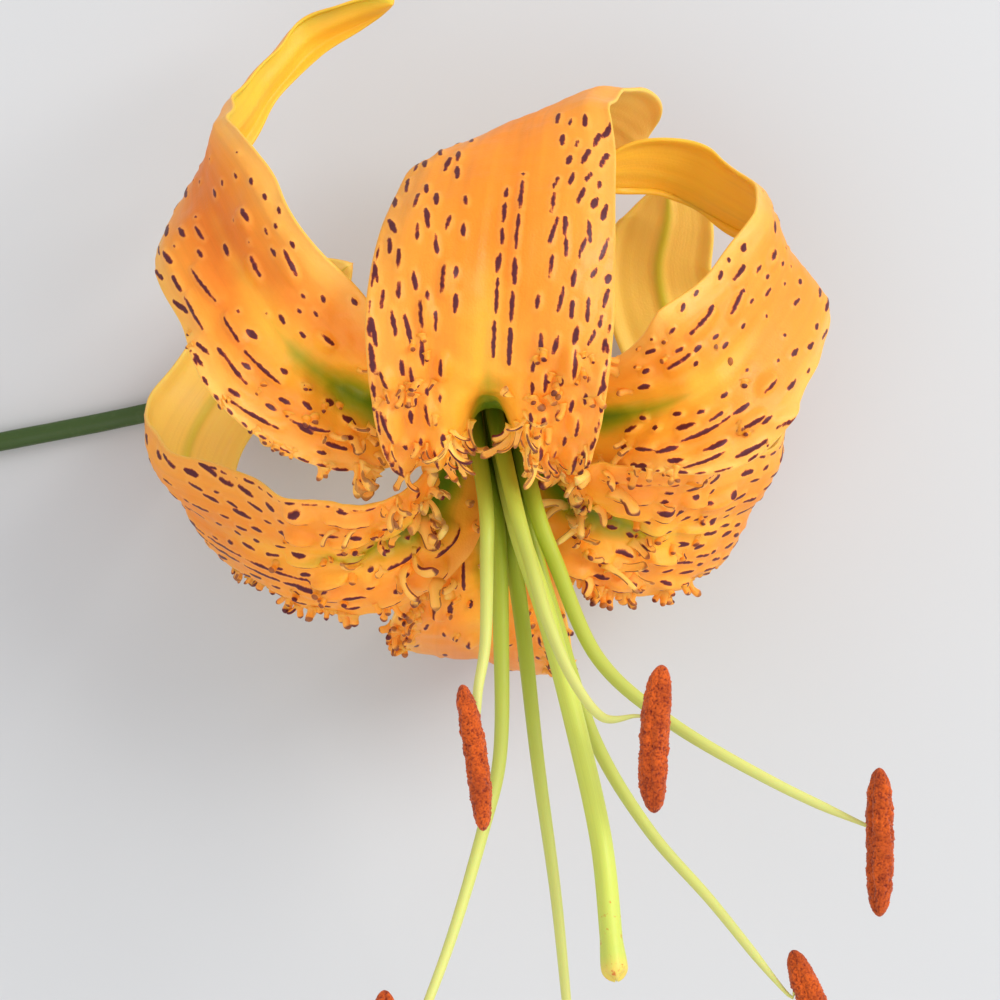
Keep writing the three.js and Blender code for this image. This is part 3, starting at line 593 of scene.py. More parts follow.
def bare_flesh(g, s, edge_share, deep_colour, back_colour):
    """A tepal's ground colours: green throat, yellow collar, orange face, and a back with its keel."""
    along, across = g.attribute("along"), g.attribute("across")
    side = g.math("ABSOLUTE", across)
    # partly painted shade: the deeper middle colour is strongest on the tepals whose faces turn from the
    # light
    channel = g.scaled(g.band(side, 0.75, 0.1), g.attribute("channel"))
    face = g.mix(channel, paint(s.face_colour), paint(deep_colour))
    face = g.mix(g.scaled(g.band(side, 0.6, 1.0), edge_share), face, paint(s.margin_colour))
    reach = g.math("ADD", along, g.scaled(side, 0.42))
    reach = g.math("ADD", reach, g.swing(g.noise(g.place(), 260.0), 0.5, 0.1))
    # the innermost, darkest green ring is partly the throat's own green and partly painted shade deep in the
    # throat
    rings = ((0.34, 0.56, s.collar_colour), (0.27, 0.4, s.throat_colour), (0.2, 0.31, s.throat_deep_colour))
    for low, high, colour in rings:
        face = g.mix(g.band(reach, low, high), paint(colour), face)
    back = g.mix(g.band(along, 0.12, 0.38), paint(s.throat_colour), paint(back_colour))
    back = g.mix(g.attribute("keel"), back, paint(s.keel_colour))
    return g.mix(g.attribute("back"), face, back), along


def with_fingers(g, s, colour):
    """The fingers grow paler from the foot, with blotched dark tips and rims."""
    finger = g.attribute("finger")
    grown = g.mix(g.attribute("pale"), paint(s.face_colour), paint(s.finger_colour))
    flesh = g.mix(g.band(finger, 0.0, 0.35), colour, grown)
    blots = g.noise(g.place(), 900.0)
    tips = g.scaled(g.band(g.math("ADD", finger, g.scaled(blots, 0.3)), 0.98, 1.09), 0.95)
    rims = g.scaled(g.band(g.attribute("rim"), 0.62, 0.82), g.band(blots, 0.36, 0.44))
    dark = g.scaled(g.math("MAXIMUM", tips, rims), g.attribute("finger_dark"))
    return g.mix(dark, flesh, paint(s.spot_colour))


def with_dashes(g, s, colour):
    """Dark ragged dashes in a reddish fringe and a painted pale highlight, by the distance in mm from their
    edges.
    """
    ragged = g.swing(g.noise(g.place(), 2600.0), 0.46, 0.2)
    knobs = g.swing(g.noise(g.place(), 1000.0, 1.0), 0.46, 0.34)
    gap = g.math("ADD", g.attribute("spot"), g.math("ADD", ragged, knobs))
    # painted highlight: a pale halo round each dash, where the raised flesh beside it would catch the light
    colour = g.mix(g.scaled(g.band(gap, 0.6, 0.05), 0.22), colour, paint(s.margin_colour))
    colour = g.mix(g.band(gap, 0.09, -0.03), colour, paint(s.spot_edge_colour))
    return g.mix(g.band(gap, 0.03, -0.08), colour, paint(s.spot_colour))


def tepal_material(name, s, edge_share, deep_colour, back_colour):
    """Spotted flesh, and a weak painted glow of its own colour for light that soaks through the thin throat.
    """
    material, g, shader = new_material(name)
    ground, along = bare_flesh(g, s, edge_share, deep_colour, back_colour)
    flesh = with_dashes(g, s, with_fingers(g, s, ground))
    # painted glow: the flesh's colour, emitted weakly towards the throat, stands in for light shining through
    painted_glow = g.mix(g.band(along, 0.5, 0.3), (0.0, 0.0, 0.0, 1.0), flesh)
    g.fill(shader, {"Emission Color": painted_glow, "Emission Strength": 0.11})
    tissue = g.group(tissue_group(), Colour=flesh, Streaks=s.veins, Mottle=0.16, Cells=0.7)
    dress(g, shader, tissue, 1.2 * MM, 0.12 * MM, 0.4)
    return material


# ---- tepals ----------------------------------------------------------------------------------------------
DASH_SPACING = (2.3, 1.15)
RIDGE_SPACING = (4.0, 2.2)
TRIES_PER_MARK = 30
FOLD_LINE_RADIUS = 0.2
FAR_FROM_DASH = 1.5
FAR_FROM_RIDGE = 3.0
HALF_THICKNESS = 0.5
MARGIN_THINNING = 0.3
MARGIN_ROUNDING = 0.14
CUPPED_BELOW = 0.5
RIMMED_BELOW = 0.65
FINGER_ROOT_DEPTH = 0.3
FINGER_SPREAD = 0.22

# Half width and cup of a tepal at its foot and at the end of its claw, and how much of its tip closes, in mm
FOOT_SIZE = 1.9, 0.4
CLAW_SIZE = 3.1, 1.0
TIP_LENGTH = 3.0

# Widths across, in mm, of what shapes a tepal's face and back
FURROW_HALF_WIDTH = 2.3
GROOVE_HALF_WIDTH = 1.7
BANK_PLACE, BANK_HALF_WIDTH = 4.6, 1.9
KEEL_HALF_WIDTH = 0.8
DENT_SIZE, LUMP_SIZE, GRAIN_SIZE = 11, 3.4, 2.2
VEIN_SPACING = 1.5
RIB_SPACING = 1.7
MARGIN_WAVES = (2.3, 3.1, 1.25, 1.6)


def scatter(rng, zone, half_at, made, apart=DASH_SPACING):
    """Places a zone's marks so that none stands on another; adds them to made and returns the new ones."""
    (u0, u1), (s0, s1), count, lengths, radii = zone[:5]
    new = []
    for _ in range(count * TRIES_PER_MARK):
        if len(new) == count:
            break
        u, s = rng.uniform(u0, u1), rng.uniform(s0, s1)
        x = s * half_at(u)
        length, radius = rng.uniform(*lengths), rng.uniform(*radii)
        if any(((u - v) / apart[0]) ** 2 + ((x - w) / apart[1]) ** 2 < 1 for v, w, *_ in made):
            continue
        lean = s * 0.24 + rng.normal(0, 0.12)
        mark = (u, x, u + length, x + length * lean, radius)
        new.append(mark)
        made.append(mark)
    return new


def marks_of(rng, spec, half_at):
    """Dark dashes and raised ridges as (along, across, along, across, radius) in mm; ridges add a height."""
    dashes, ridges = [], []
    for zone in spec["ridges"]:
        folds = scatter(rng, zone, half_at, dashes, RIDGE_SPACING)
        first = len(dashes) - len(folds)
        for number, (u0, x0, u1, x1, radius) in enumerate(folds, first):
            ridges.append((u0, x0, u1, x1, radius, zone[5] * rng.uniform(0.7, 1.2)))
            low = math.copysign(radius * 0.75, zone[1][0] + zone[1][1])
            dashes[number] = (u0, x0 + low, u1, x1 + low, FOLD_LINE_RADIUS)
    for zone in spec["dashes"]:
        scatter(rng, zone, half_at, dashes)
    for u0, u1, s, short, long, radius in spec["rows"]:
        u = u0 + rng.uniform(0, 1)
        while u < u1:
            length = rng.uniform(short, long)
            x = s * half_at(u) + rng.normal(0, 0.08)
            end = min(u + length, u1)
            dashes.append((u, x, end, s * half_at(end), radius * rng.uniform(0.8, 1.2)))
            u += length + rng.uniform(0.5, 1.1)
    return dashes, ridges


def distance_to_lines(u, x, lines, most=FAR_FROM_DASH):
    """Distance in mm from each place to the nearest line's edge, negative inside."""
    nearest = np.full(u.shape, most)
    for u0, x0, u1, x1, radius, *_ in lines:
        du, dx = u1 - u0, x1 - x0
        share = np.clip(((u - u0) * du + (x - x0) * dx) / (du * du + dx * dx), 0, 1)
        taper = radius * (1 - 0.4 * np.abs(2 * share - 1) ** 2)
        nearest = np.minimum(nearest, np.hypot(u - u0 - share * du, x - x0 - share * dx) - taper)
    return nearest


def add_finger(shape, root, way, curl, size, flat, values):
    """A fleshy finger: a flattened tapering tube that hooks over, round at its tip, rooted in the tepal."""
    length, radius, bend, spoon = size
    rows, sides = FINGER_MESH
    share = 1 - (1 - np.linspace(0, 1, rows)) ** 1.7
    fine = np.linspace(0, 1, 60)
    step = length / (len(fine) - 1)
    curl = unit(curl - way * (curl @ way))
    turned = bend * fine**1.3
    steps = np.outer(np.cos(turned), way) + np.outer(np.sin(turned), curl)
    path = root + np.vstack([np.zeros(3), np.cumsum((steps[1:] + steps[:-1]) / 2, axis=0)]) * step
    line = np.stack([np.interp(share, fine, path[:, k]) for k in range(3)], axis=1)
    turned = bend * share**1.3
    ways = np.outer(np.cos(turned), way) + np.outer(np.sin(turned), curl)
    wide = np.broadcast_to(np.cross(way, curl), ways.shape)
    thin = np.cross(ways, wide)
    girth = radius * (1 - 0.42 * share + 0.25 * spoon * ramp(share, 0.4, 0.9))
    dome = np.clip(radius / length, 0.1, 0.6)
    girth = girth * np.sqrt(np.clip(1 - np.clip((share - 1 + dome) / dome, 0, 1) ** 2, 0.01, 1))
    foot = radius * 0.7 * np.exp(-share * 7)
    turn = np.linspace(0, 2 * math.pi, sides, endpoint=False)
    breadth = np.cos(turn)[None] * (girth + foot)[:, None]
    depth = np.sin(turn)[None] * (girth * flat + foot * 0.6)[:, None]
    depth = depth - (flat < CUPPED_BELOW) * girth[:, None] * 0.6 * (np.cos(turn) ** 2)[None]
    points = line[:, None] + breadth[..., None] * wide[:, None] + depth[..., None] * thin[:, None]
    points = np.vstack([points.reshape(-1, 3), line[0], line[-1] + ways[-1] * radius * 0.05])
    grown = share ** (0.6 if flat > RIMMED_BELOW else 1.0) * 0.95 + 0.05
    grown = np.concatenate([np.repeat(grown, sides), [0.05, 1.0]])
    rim = np.abs(np.cos(turn))[None] ** 1.5 * np.minimum(share * 2.5, 1)[:, None] * (flat < RIMMED_BELOW)
    shape.add(points, tube_faces(rows, sides), finger=grown, rim=np.append(rim, [0, 1]), **values)


def grow_fingers(shape, rng, zones, factor, run, directions, face_points):
    """Roots every zone's fingers in the face; directions are out, across and along for each row."""
    inner, side, ways = directions
    for (u0, u1), (s0, s1), count, lengths, radii, push, flat, pale, dark in zones:
        for _ in range(count):
            row = int(np.searchsorted(run, rng.uniform(u0, u1)))
            place = rng.uniform(s0, s1)
            column = int(round((place + 1) / 2 * (FACE_COLUMNS - 1)))
            way = unit(inner[row] * push[0] + side[row] * push[1] + ways[row] * push[2])
            way = way + rng.normal(0, FINGER_SPREAD, 3)
            curl = side[row] * rng.normal(0, 1) + ways[row] * rng.normal(0, 0.6) + inner[row] * 0.35
            reach = rng.uniform(*lengths)
            bend = rng.uniform(0.5, 2.3) * np.clip(reach / 2.6, 0.2, 1)
            size = reach * factor, rng.uniform(*radii), bend, rng.uniform(0, 2)
            root = face_points[row, column] - inner[row] * FINGER_ROOT_DEPTH
            values = {
                "along": run[row] / run[-1], "across": place, "back": 0.0, "spot": FAR_FROM_DASH,
                "keel": 0.0, "channel": 0.0,
                "pale": pale * rng.uniform(0.8, 1.1), "finger_dark": dark * rng.uniform(0.65, 1.1),
            }
            add_finger(shape, root, unit(way), curl, size, flat * rng.uniform(0.85, 1.15), values)


def tepal_stations(spec):
    """Stations from the foot on the receptacle through the claw to the tip, with unit face directions."""
    away = outward(spec["turn"])
    foot = SEAT + AXIS * TEPAL_LIFT + away * spec["ring"]
    claw = foot + AXIS * CLAW_LENGTH + away * TEPAL_SPLAY
    stations = [(*foot, *-away, *FOOT_SIZE), (*claw, *unit(AXIS * 0.25 - away), *CLAW_SIZE)]
    stations = np.array([*stations, *spec["bends"]], float)
    stations[:, 3:6] = unit(stations[:, 3:6])
    return stations


def build_tepal(name, settings, material):
    """One tepal: a meshed face and back joined at rounded margins, its marks and its fingers."""
    spec = TEPALS[name]
    rng = np.random.default_rng(spec["seed"])
    stations = tepal_stations(spec)
    shares, run = even_shares(stations[:, :3], ROWS)
    at, ways = smooth_path(stations[:, :3], shares)
    facing, _ = smooth_curve(stations[:, 3:6], shares)
    sizes, _ = smooth_curve(stations[:, 6:8], shares)
    inner = unit(facing - ways * np.sum(facing * ways, axis=1, keepdims=True))
    side = np.cross(ways, inner)
    length = run[-1]
    close = np.clip((run - length + TIP_LENGTH) / TIP_LENGTH, 0, 0.998)
    half = sizes[:, 0] * np.sqrt(1 - close**2)
    edge, widen, start, full, fade, end = spec.get("widen", (1, 0, 0, 1, 2, 3))
    wider = widen * ramp(run, start, full) * ramp(run, end, fade)
    cup = sizes[:, 1]

    # How strong each undulation is in every row, in mm of height
    free = ramp(run, 10, 24) * ramp(run, length, length - 8)
    droop = 0.9 * (free * ramp(run, 20, 40))
    flutter, bumpy = 0.34 * free, 0.22 * free
    deep = spec["furrow"] * ramp(run, 8, 16) * ramp(run, 28.5, 21.5)
    banks = 0.28 * deep
    shallow = 0.55 * ramp(run, 12, 24) * ramp(run, 70, 40)
    lumpy = 0.2 * ramp(run, 12, 18) * ramp(run, 36, 24)
    phase = rng.uniform(0, 6.28, 4)
    margins = [np.sin(run / w + p) for w, p in zip(MARGIN_WAVES, phase)]
    right_wave, left_wave = margins[0] + 0.5 * margins[2], margins[1] + 0.5 * margins[3]

    def middle(s):
        """Points of the blade's middle surface for one row of places across, and mm across."""
        u = run[:, None]
        x = half[:, None] * s + edge * wider[:, None] * ramp(edge * s, 0.3, 1.0)
        lift = cup[:, None] * s**2 - droop[:, None] * ramp(np.abs(s), 0.72, 1.0)
        wave = np.where(s > 0, right_wave[:, None], left_wave[:, None])
        lift = lift + flutter[:, None] * wave * np.abs(s) ** 3
        lift = lift - deep[:, None] * np.exp(-(np.abs(x / FURROW_HALF_WIDTH) ** 3))
        lift = lift - shallow[:, None] * bell(x, GROOVE_HALF_WIDTH)
        lift = lift + banks[:, None] * bell(np.abs(x) - BANK_PLACE, BANK_HALF_WIDTH)
        lift = lift + bumpy[:, None] * uneven(np.random.default_rng(spec["seed"] + 1), u, x, DENT_SIZE)
        lift = lift + lumpy[:, None] * uneven(np.random.default_rng(spec["seed"] + 2), u, x, LUMP_SIZE)
        return at[:, None] + side[:, None] * x[..., None] + inner[:, None] * lift[..., None], x

    face_s = np.linspace(-1, 1, FACE_COLUMNS)[None, :]
    back_s = np.linspace(1, -1, BACK_COLUMNS)[None, :]
    body, x = middle(face_s)
    under, back_x = middle(back_s)
    u = np.broadcast_to(run[:, None], x.shape)
    dashes, ridges = marks_of(rng, spec, lambda v: np.interp(v, run, half))
    gap = distance_to_lines(u, x, dashes)
    folds = np.zeros_like(u)
    for ridge in ridges:
        off = distance_to_lines(u, x, [ridge], FAR_FROM_RIDGE)
        folds = np.maximum(folds, ridge[5] * ramp(off, 0.55, -ridge[4]))
    stand = (settings.dash_relief / MM + 0.42 * ramp(u, 33, 20)) * ramp(gap, 0.45, -0.15)
    thick = HALF_THICKNESS - MARGIN_THINNING * face_s**2
    veins = 0.02 * np.cos(x * 2 * math.pi / VEIN_SPACING) * free[:, None] * (1 - face_s**2)
    rough = 0.03 * uneven(rng, u, x, GRAIN_SIZE)
    relief = veins + rough + stand + folds
    face_points = body + inner[:, None] * (thick + relief)[..., None]
    keel_at, keel_width, keel_strength = spec["keel"]
    keel = 0.4 * keel_strength * bell(back_x, KEEL_HALF_WIDTH) * ramp(run, 4, 16)[:, None]
    ribs = 0.025 * np.cos(back_x * 2 * math.pi / RIB_SPACING) * (1 - back_s**2)
    keel_tint = keel_strength * bell(back_s - keel_at, keel_width)
    under_thick = HALF_THICKNESS - MARGIN_THINNING * back_s**2
    back_points = under - inner[:, None] * (under_thick + keel + ribs)[..., None]
    rim = side * MARGIN_ROUNDING
    right = (face_points[:, -1] + back_points[:, 0]) / 2 + rim
    left = (face_points[:, 0] + back_points[:, -1]) / 2 - rim
    rows = np.concatenate([face_points, right[:, None], back_points, left[:, None]], axis=1)
    ring = rows.shape[1]

    def spread_out(face, right_value, back, left_value, end_value):
        """One value for each point: face, right margin, back, left margin, and the points at both ends."""
        parts = [np.broadcast_to(part, (ROWS, width)) for part, width in
                 ((face, FACE_COLUMNS), (right_value, 1), (back, BACK_COLUMNS), (left_value, 1))]
        return np.append(np.concatenate(parts, axis=1).ravel(), [end_value, end_value])

    shape = Shape()
    ends = np.vstack([rows[0].mean(axis=0), rows[-1].mean(axis=0)])
    faces = [face[::-1] for face in tube_faces(ROWS, ring)]
    shape.add(np.vstack([rows.reshape(-1, 3), ends]), faces,
              along=np.append(np.repeat(run / length, ring), [0, 1]),
              across=spread_out(face_s, 1.0, back_s, -1.0, 0.0),
              back=spread_out(0.0, 0.5, 1.0, 0.5, 1.0),
              spot=spread_out(gap, FAR_FROM_DASH, FAR_FROM_DASH, FAR_FROM_DASH, FAR_FROM_DASH),
              keel=spread_out(0.0, 0.0, keel_tint, 0.0, 0.0),
              finger=0.0, finger_dark=0.0, pale=0.0, rim=0.0, channel=spec["channel"])
    grow_fingers(shape, rng, spec["fingers"], settings.finger_size, run, (inner, side, ways), face_points)
    return shape.build(name + "_flesh", name, spec["slot"], material)


# ---- round pieces ----------------------------------------------------------------------------------------
ANTHER_SEED, LUMP_SEED, STEM_SEED = 100, 200, 5
OVARY_RADIUS = 0.82
STIGMA_START, STIGMA_FULL = 0.93, 0.975


def round_piece(points, mesh, girth, start=(0, 0, 1)):
    """Rings of points round a curve, with each point's share along and turn round it, the curve's own points
    and its directions; girth(share, turn) gives the radius."""
    rows, sides = mesh
    shares, run = even_shares(points, rows)
    at, ways = smooth_path(points, shares)
    first, second = carried_frame(ways, start)
    turn = np.linspace(0, 2 * math.pi, sides, endpoint=False)[None, :]
    share = (run / run[-1])[:, None]
    size = girth(share, turn) * np.ones((rows, sides))
    ring = np.cos(turn)[..., None] * first[:, None] + np.sin(turn)[..., None] * second[:, None]
    points = at[:, None] + ring * size[..., None]
    return points, share * np.ones((1, sides)), turn * np.ones((rows, 1)), at, ways


def closed_round(points, ends, **values):
    """A shape from rings of points, closed at both ends; the end points take the values of their rings."""
    shape = Shape()
    values = {key: np.append(value.ravel(), [value[0, 0], value[-1, 0]]) for key, value in values.items()}
    shape.add(np.vstack([points.reshape(-1, 3), ends]), tube_faces(*points.shape[:2]), **values)
    return shape


def build_filament(number, settings, material):
    """A slightly flattened filament that tapers to a thin end inside the anther's side."""
    points, _, _, clear = anther_layout(STAMENS[number])
    points = [*points, points[-1] + clear * (ANTHER_TIP_GAP + 0.25)]
    low, high = settings.filament_foot / MM / 2, settings.filament_end / MM / 2

    def girth(share, turn):
        body = low + (high - low) * share**1.15
        body = body * (0.86 + 0.14 * ramp(share, 0.0, 0.2)) * (1 - 0.62 * ramp(share, 0.9, 1.0))
        return body * (1 + 0.05 * np.cos(2 * turn) + 0.02 * np.cos(3 * turn + 9 * share))

    rows, share, turn, at, _ = round_piece(points, FILAMENT_MESH, girth)
    shape = closed_round(rows, at[[0, -1]], along=share, across=np.sin(turn))
    name = f"filament_{number + 1}"
    return shape.build(name + "_stalk", name, "filament", material)


def build_anther(number, settings, material):
    """A bowed oval anther with a groove on either side and a coat of pollen grains."""
    _, middle, lean, clear = anther_layout(STAMENS[number])
    rng = np.random.default_rng(ANTHER_SEED + number)
    bow = rng.uniform(-0.5, 0.5)
    steps = np.linspace(-0.5, 0.5, 6)[:, None]
    sway = np.cross(lean, clear) * bow
    points = middle + lean * ANTHER_LENGTH * steps
    points = points + sway * (steps * 2) ** 2 + clear * 0.35 * (steps * 2) ** 2
    grain = settings.pollen_grain / MM
    jitter = rng.normal(0, 1, ANTHER_MESH)
    jitter = (jitter + np.roll(jitter, 1, 0) * 0.5 + np.roll(jitter, 1, 1) * 0.5) / 1.22

    def side_groove(turn, offset, width):
        return bell((turn + offset) % (2 * math.pi) - math.pi, width)

    def girth(share, turn):
        ends = np.sqrt(np.clip(1 - np.abs(2 * share - 1) ** 3.4, 0.004, 1))
        lobes = 1 - 0.3 * side_groove(turn, -math.pi / 2, 0.32)
        lobes = lobes - 0.16 * side_groove(turn, math.pi / 2, 0.3)
        oval = 1 - 0.1 * np.cos(2 * turn + math.pi)
        draws = np.random.default_rng(LUMP_SEED + number)
        lumps = 0.07 * uneven(draws, share * ANTHER_LENGTH, turn * 1.2, 1.6)
        return ANTHER_RADIUS * 0.97 * ends * lobes * oval * (1 + lumps) + grain * jitter * ends

    rows, share, turn, at, _ = round_piece(points, ANTHER_MESH, girth, clear)
    groove = side_groove(turn, -math.pi / 2, 0.3)
    shape = closed_round(rows, at[[0, -1]], along=share, across=np.sin(turn), grain=jitter, groove=groove)
    name = f"anther_{number + 1}"
    return shape.build(name + "_pollen", name, "anther", material)


def build_pistil(settings, material):
    """Slim ribbed ovary, style, and a three-lobed stigma that is dented at the tip."""
    foot = SEAT + AXIS * FOOT_LIFT
    points = [foot, foot + AXIS * CLAW_LENGTH, *map(np.asarray, PISTIL_BENDS)]
    thick, tip = settings.style_diameter / MM / 2, settings.stigma_diameter / MM / 2

    def girth(share, turn):
        lobed = 1 + 0.06 * np.cos(3 * turn) * ramp(share, 0.1, 0.3)
        body = OVARY_RADIUS + (thick * 0.9 - OVARY_RADIUS) * ramp(share, 0.1, 0.4) + thick * 0.12 * share
        head = (tip - body) * ramp(share, STIGMA_START, STIGMA_FULL) * (1 + 0.2 * np.cos(3 * turn))
        dome = np.sqrt(np.clip(1 - ((share - STIGMA_FULL) / 0.0252).clip(0, 1) ** 2, 0.01, 1))
        return (body * lobed + head) * dome

    rows, share, turn, at, ways = round_piece(points, PISTIL_MESH, girth)
    end = ramp(share, 0.972, 1.0)
    dent = 0.5 * end * (0.5 - 0.5 * np.cos(3 * turn)) + 0.35 * end
    rows = rows - ways[-1] * dent[..., None]
    tip_point = at[-1] - ways[-1] * 0.7
    shape = closed_round(rows, np.vstack([at[0], tip_point]), along=share, across=np.sin(turn))
    return shape.build("pistil_flesh", "pistil", "pistil", material)


def build_stem(settings, material):
    """Ribbed stalk that swells into the receptacle at one end and is cut flat at the other."""
    points = [SEAT, SEAT - AXIS * 1.6, SEAT - AXIS * 4.4, *map(np.asarray, STEM_BENDS)]
    thin = settings.diameter / MM / 2

    def girth(share, turn):
        swell = 1 - ramp(share, 0.0, 0.12)
        ribs = 1 + 0.03 * np.cos(3 * turn) + 0.015 * np.cos(7 * turn + 5 * share)
        lumps = 0.02 * uneven(np.random.default_rng(STEM_SEED), share * 120, turn, 7)
        return (thin + (RECEPTACLE_RADIUS - thin) * swell**1.6) * (ribs + lumps)

    rows, share, turn, at, ways = round_piece(points, STEM_MESH, girth)
    rim = rows[-1:]
    inset = at[-1] + (rim - at[-1]) * 0.9 + ways[-1] * 0.05
    core = at[-1] + (rim - at[-1]) * 0.45 + ways[-1] * 0.02
    on_cut = [np.ones_like(rim[..., 0])] * 2
    cut = np.concatenate([np.zeros_like(share), *on_cut])
    rows = np.concatenate([rows, inset, core])
    share = np.concatenate([share, *on_cut])
    turn = np.concatenate([turn, turn[-1:], turn[-1:]])
    shape = closed_round(rows, at[[0, -1]], along=share, across=np.sin(turn), cut=cut)
    return shape.build("stem_skin", "stem", "stem", material)


# ---- materials of the round pieces -----------------------------------------------------------------------
def stalk_colour(g, foot, body, end):
    """Colour along a stalk, from its foot over its body to its end."""
    along = g.attribute("along")
    colour = g.mix(g.band(along, 0.14, 0.36), paint(foot), paint(body))
    return g.mix(g.band(along, 0.3, 0.95), colour, paint(end))


def dress_stalk(g, shader, colour, flesh, soft=0.25):
    tissue = g.group(tissue_group(), Colour=colour, Streaks=0.3, Mottle=0.12, Cells=0.5)
    dress(g, shader, tissue, flesh, 0.08 * MM, soft)


def filament_material(s):
    """Green flesh that pales towards the anther, darker at the foot partly as painted shade."""
    material, g, shader = new_material("Filament Flesh")
    # the darker green at the foot is partly the filament's own green and partly painted shade in the throat
    dress_stalk(g, shader, stalk_colour(g, s.foot_colour, s.filament_colour, s.end_colour), 0.8 * MM)
    return material


def anther_material(s):
    """Dry pollen: bright grains, with painted shade in the gaps between them, down the groove and in patches.
    """
    material, g, shader = new_material("Anther Pollen")
    clumps = g.noise(g.place(), 1500.0, 3.0, 0.6)
    grains = g.add("ShaderNodeTexVoronoi", {"Vector": g.place(), "Scale": 5200.0}).outputs["Distance"]
    height = g.math("ADD", g.scaled(g.attribute("grain"), 0.14), clumps)
    height = g.math("SUBTRACT", height, g.scaled(grains, 0.5))
    # painted shade: darker where the height is low, in the gaps between the grains
    colour = g.mix(g.band(height, -0.3, 0.5), paint(s.pollen_dark_colour), paint(s.pollen_colour))
    # painted shade: a dark line down the groove
    colour = g.mix(g.scaled(g.attribute("groove"), 0.6), colour, paint(s.pollen_dark_colour))
    shadow = g.band(g.noise(g.place(), 420.0, 2.0), 0.35, 0.65, 0.0, 0.35)
    colour = g.mix(shadow, colour, paint(s.pollen_dark_colour))
    bump = g.add("ShaderNodeBump", {"Strength": 0.6, "Distance": 0.1 * MM, "Height": height})
    g.fill(shader, {"Base Color": colour, "Roughness": 0.85, "Specular IOR Level": 0.2, "Sheen Weight": 0.25,
                    "Normal": bump.outputs[0]})
    return material


def pistil_material(s, pollen):
    """Lime flesh with pollen dust near the tip, and a yellow stigma."""
    material, g, shader = new_material("Pistil Flesh")
    along = g.attribute("along")
    dust = g.math("ADD", g.noise(g.place(), 1100.0, 4.0, 0.7), g.band(along, 0.75, 1.0, -0.2, 0.03))
    colour = stalk_colour(g, s.foot_colour, s.style_colour, s.style_colour)
    colour = g.mix(g.band(along, 0.955, 0.985), colour, paint(s.stigma_colour))
    colour = g.mix(g.scaled(g.band(dust, 0.6, 0.66), 0.8), colour, paint(pollen))
    dress_stalk(g, shader, colour, 0.8 * MM)
    return material


def stem_material(s):
    """Dark waxy green, paler on the receptacle, with a pale cut end."""
    material, g, shader = new_material("Stem Skin")
    colour = g.mix(g.band(g.attribute("along"), 0.03, 0.14), paint(s.receptacle_colour), paint(s.colour))
    bloom = g.band(g.noise(g.place(), 350.0, 4.0, 0.7), 0.5, 0.75)
    colour = g.mix(g.scaled(bloom, 0.35), colour, paint(s.bloom_colour))
    pores = g.band(g.noise(g.place(), 2600.0, 1.0), 0.52, 0.6)
    inside = g.mix(g.scaled(pores, 0.5), paint(s.cut_colour), paint(s.receptacle_colour))
    dress_stalk(g, shader, g.mix(g.attribute("cut"), colour, inside), 0.5 * MM, 0.1)
    return material


def table_material(s):
    """Matt and almost even in tone."""
    material, g, shader = new_material("Pale Table")
    tone = g.band(g.noise(g.place(), 6.0, 2.0), 0.3, 0.7, 0.99, 1.0)
    colour = g.mix(1.0, paint(s.table_colour), g.vector(tone, tone, tone), "MULTIPLY")
    g.fill(shader, {"Base Color": colour, "Roughness": 0.9, "Specular IOR Level": 0.1})
    return material


# ---- settings that a user would change -------------------------------------------------------------------
def colour_property(name, default, description):
    """A colour setting, given as it looks on a screen from 0 to 255 and kept as linear light."""
    shares = [v / 255 for v in default]
    linear = [c / 12.92 if c <= 0.04045 else ((c + 0.055) / 1.055) ** 2.4 for c in shares]
    return FloatVectorProperty(name=name, description=description, default=linear, min=0, max=1,
                               subtype="COLOR")


def size_property(name, default_mm, description):
    return FloatProperty(name=name, description=description, default=default_mm * MM, min=0, unit="LENGTH")


def factor_property(name, default, description):
    return FloatProperty(name=name, description=description, default=default, min=0)


def power_property(name, default, description):
    return FloatProperty(name=name, description=description, default=default, min=0, unit="POWER")


class LilyTepals(PropertyGroup):
    face_colour: colour_property("Face", (247, 153, 42), "Inner face of a tepal")
    deep_colour: colour_property("Channel", (244, 140, 22), "Along the middle of the face")
    outer_deep_colour: colour_property("Outer channel", (232, 124, 20), "Middle of the outer tepals' faces")
    # the margin colour also paints the highlight round the dashes
    margin_colour: colour_property("Margin", (255, 188, 88), "Edges of the face")
    collar_colour: colour_property("Collar", (255, 178, 52), "Yellow ring between throat and face")
    throat_colour: colour_property("Throat", (166, 158, 20), "Base of the face")
    # darkest green: partly the throat's own colour, partly painted shade deep in the throat
    throat_deep_colour: colour_property("Deep throat", (98, 126, 16), "Innermost part of the base")
    back_colour: colour_property("Back", (255, 208, 98), "Outer side of a tepal")
    outer_back_colour: colour_property("Outer back", (255, 192, 52), "Outer side of the outer tepals")
    keel_colour: colour_property("Keel", (206, 190, 48), "Rib down the middle of the back")
    spot_colour: colour_property("Dashes", (86, 22, 32), "Dark raised dashes and finger tips")
    spot_edge_colour: colour_property("Dash edges", (166, 58, 30), "Reddish fringe round a dash")
    finger_colour: colour_property("Fingers", (255, 214, 112), "Fleshy fingers round the throat")
    dash_relief: size_property("Dash relief", 0.16, "How far a dash stands off the face")
    finger_size: FloatProperty(name="Finger size", description="Factor on the fingers' length", default=1.0,
                               min=0.2)
    veins: factor_property("Veins", 0.22, "Strength of the streaks along a tepal")


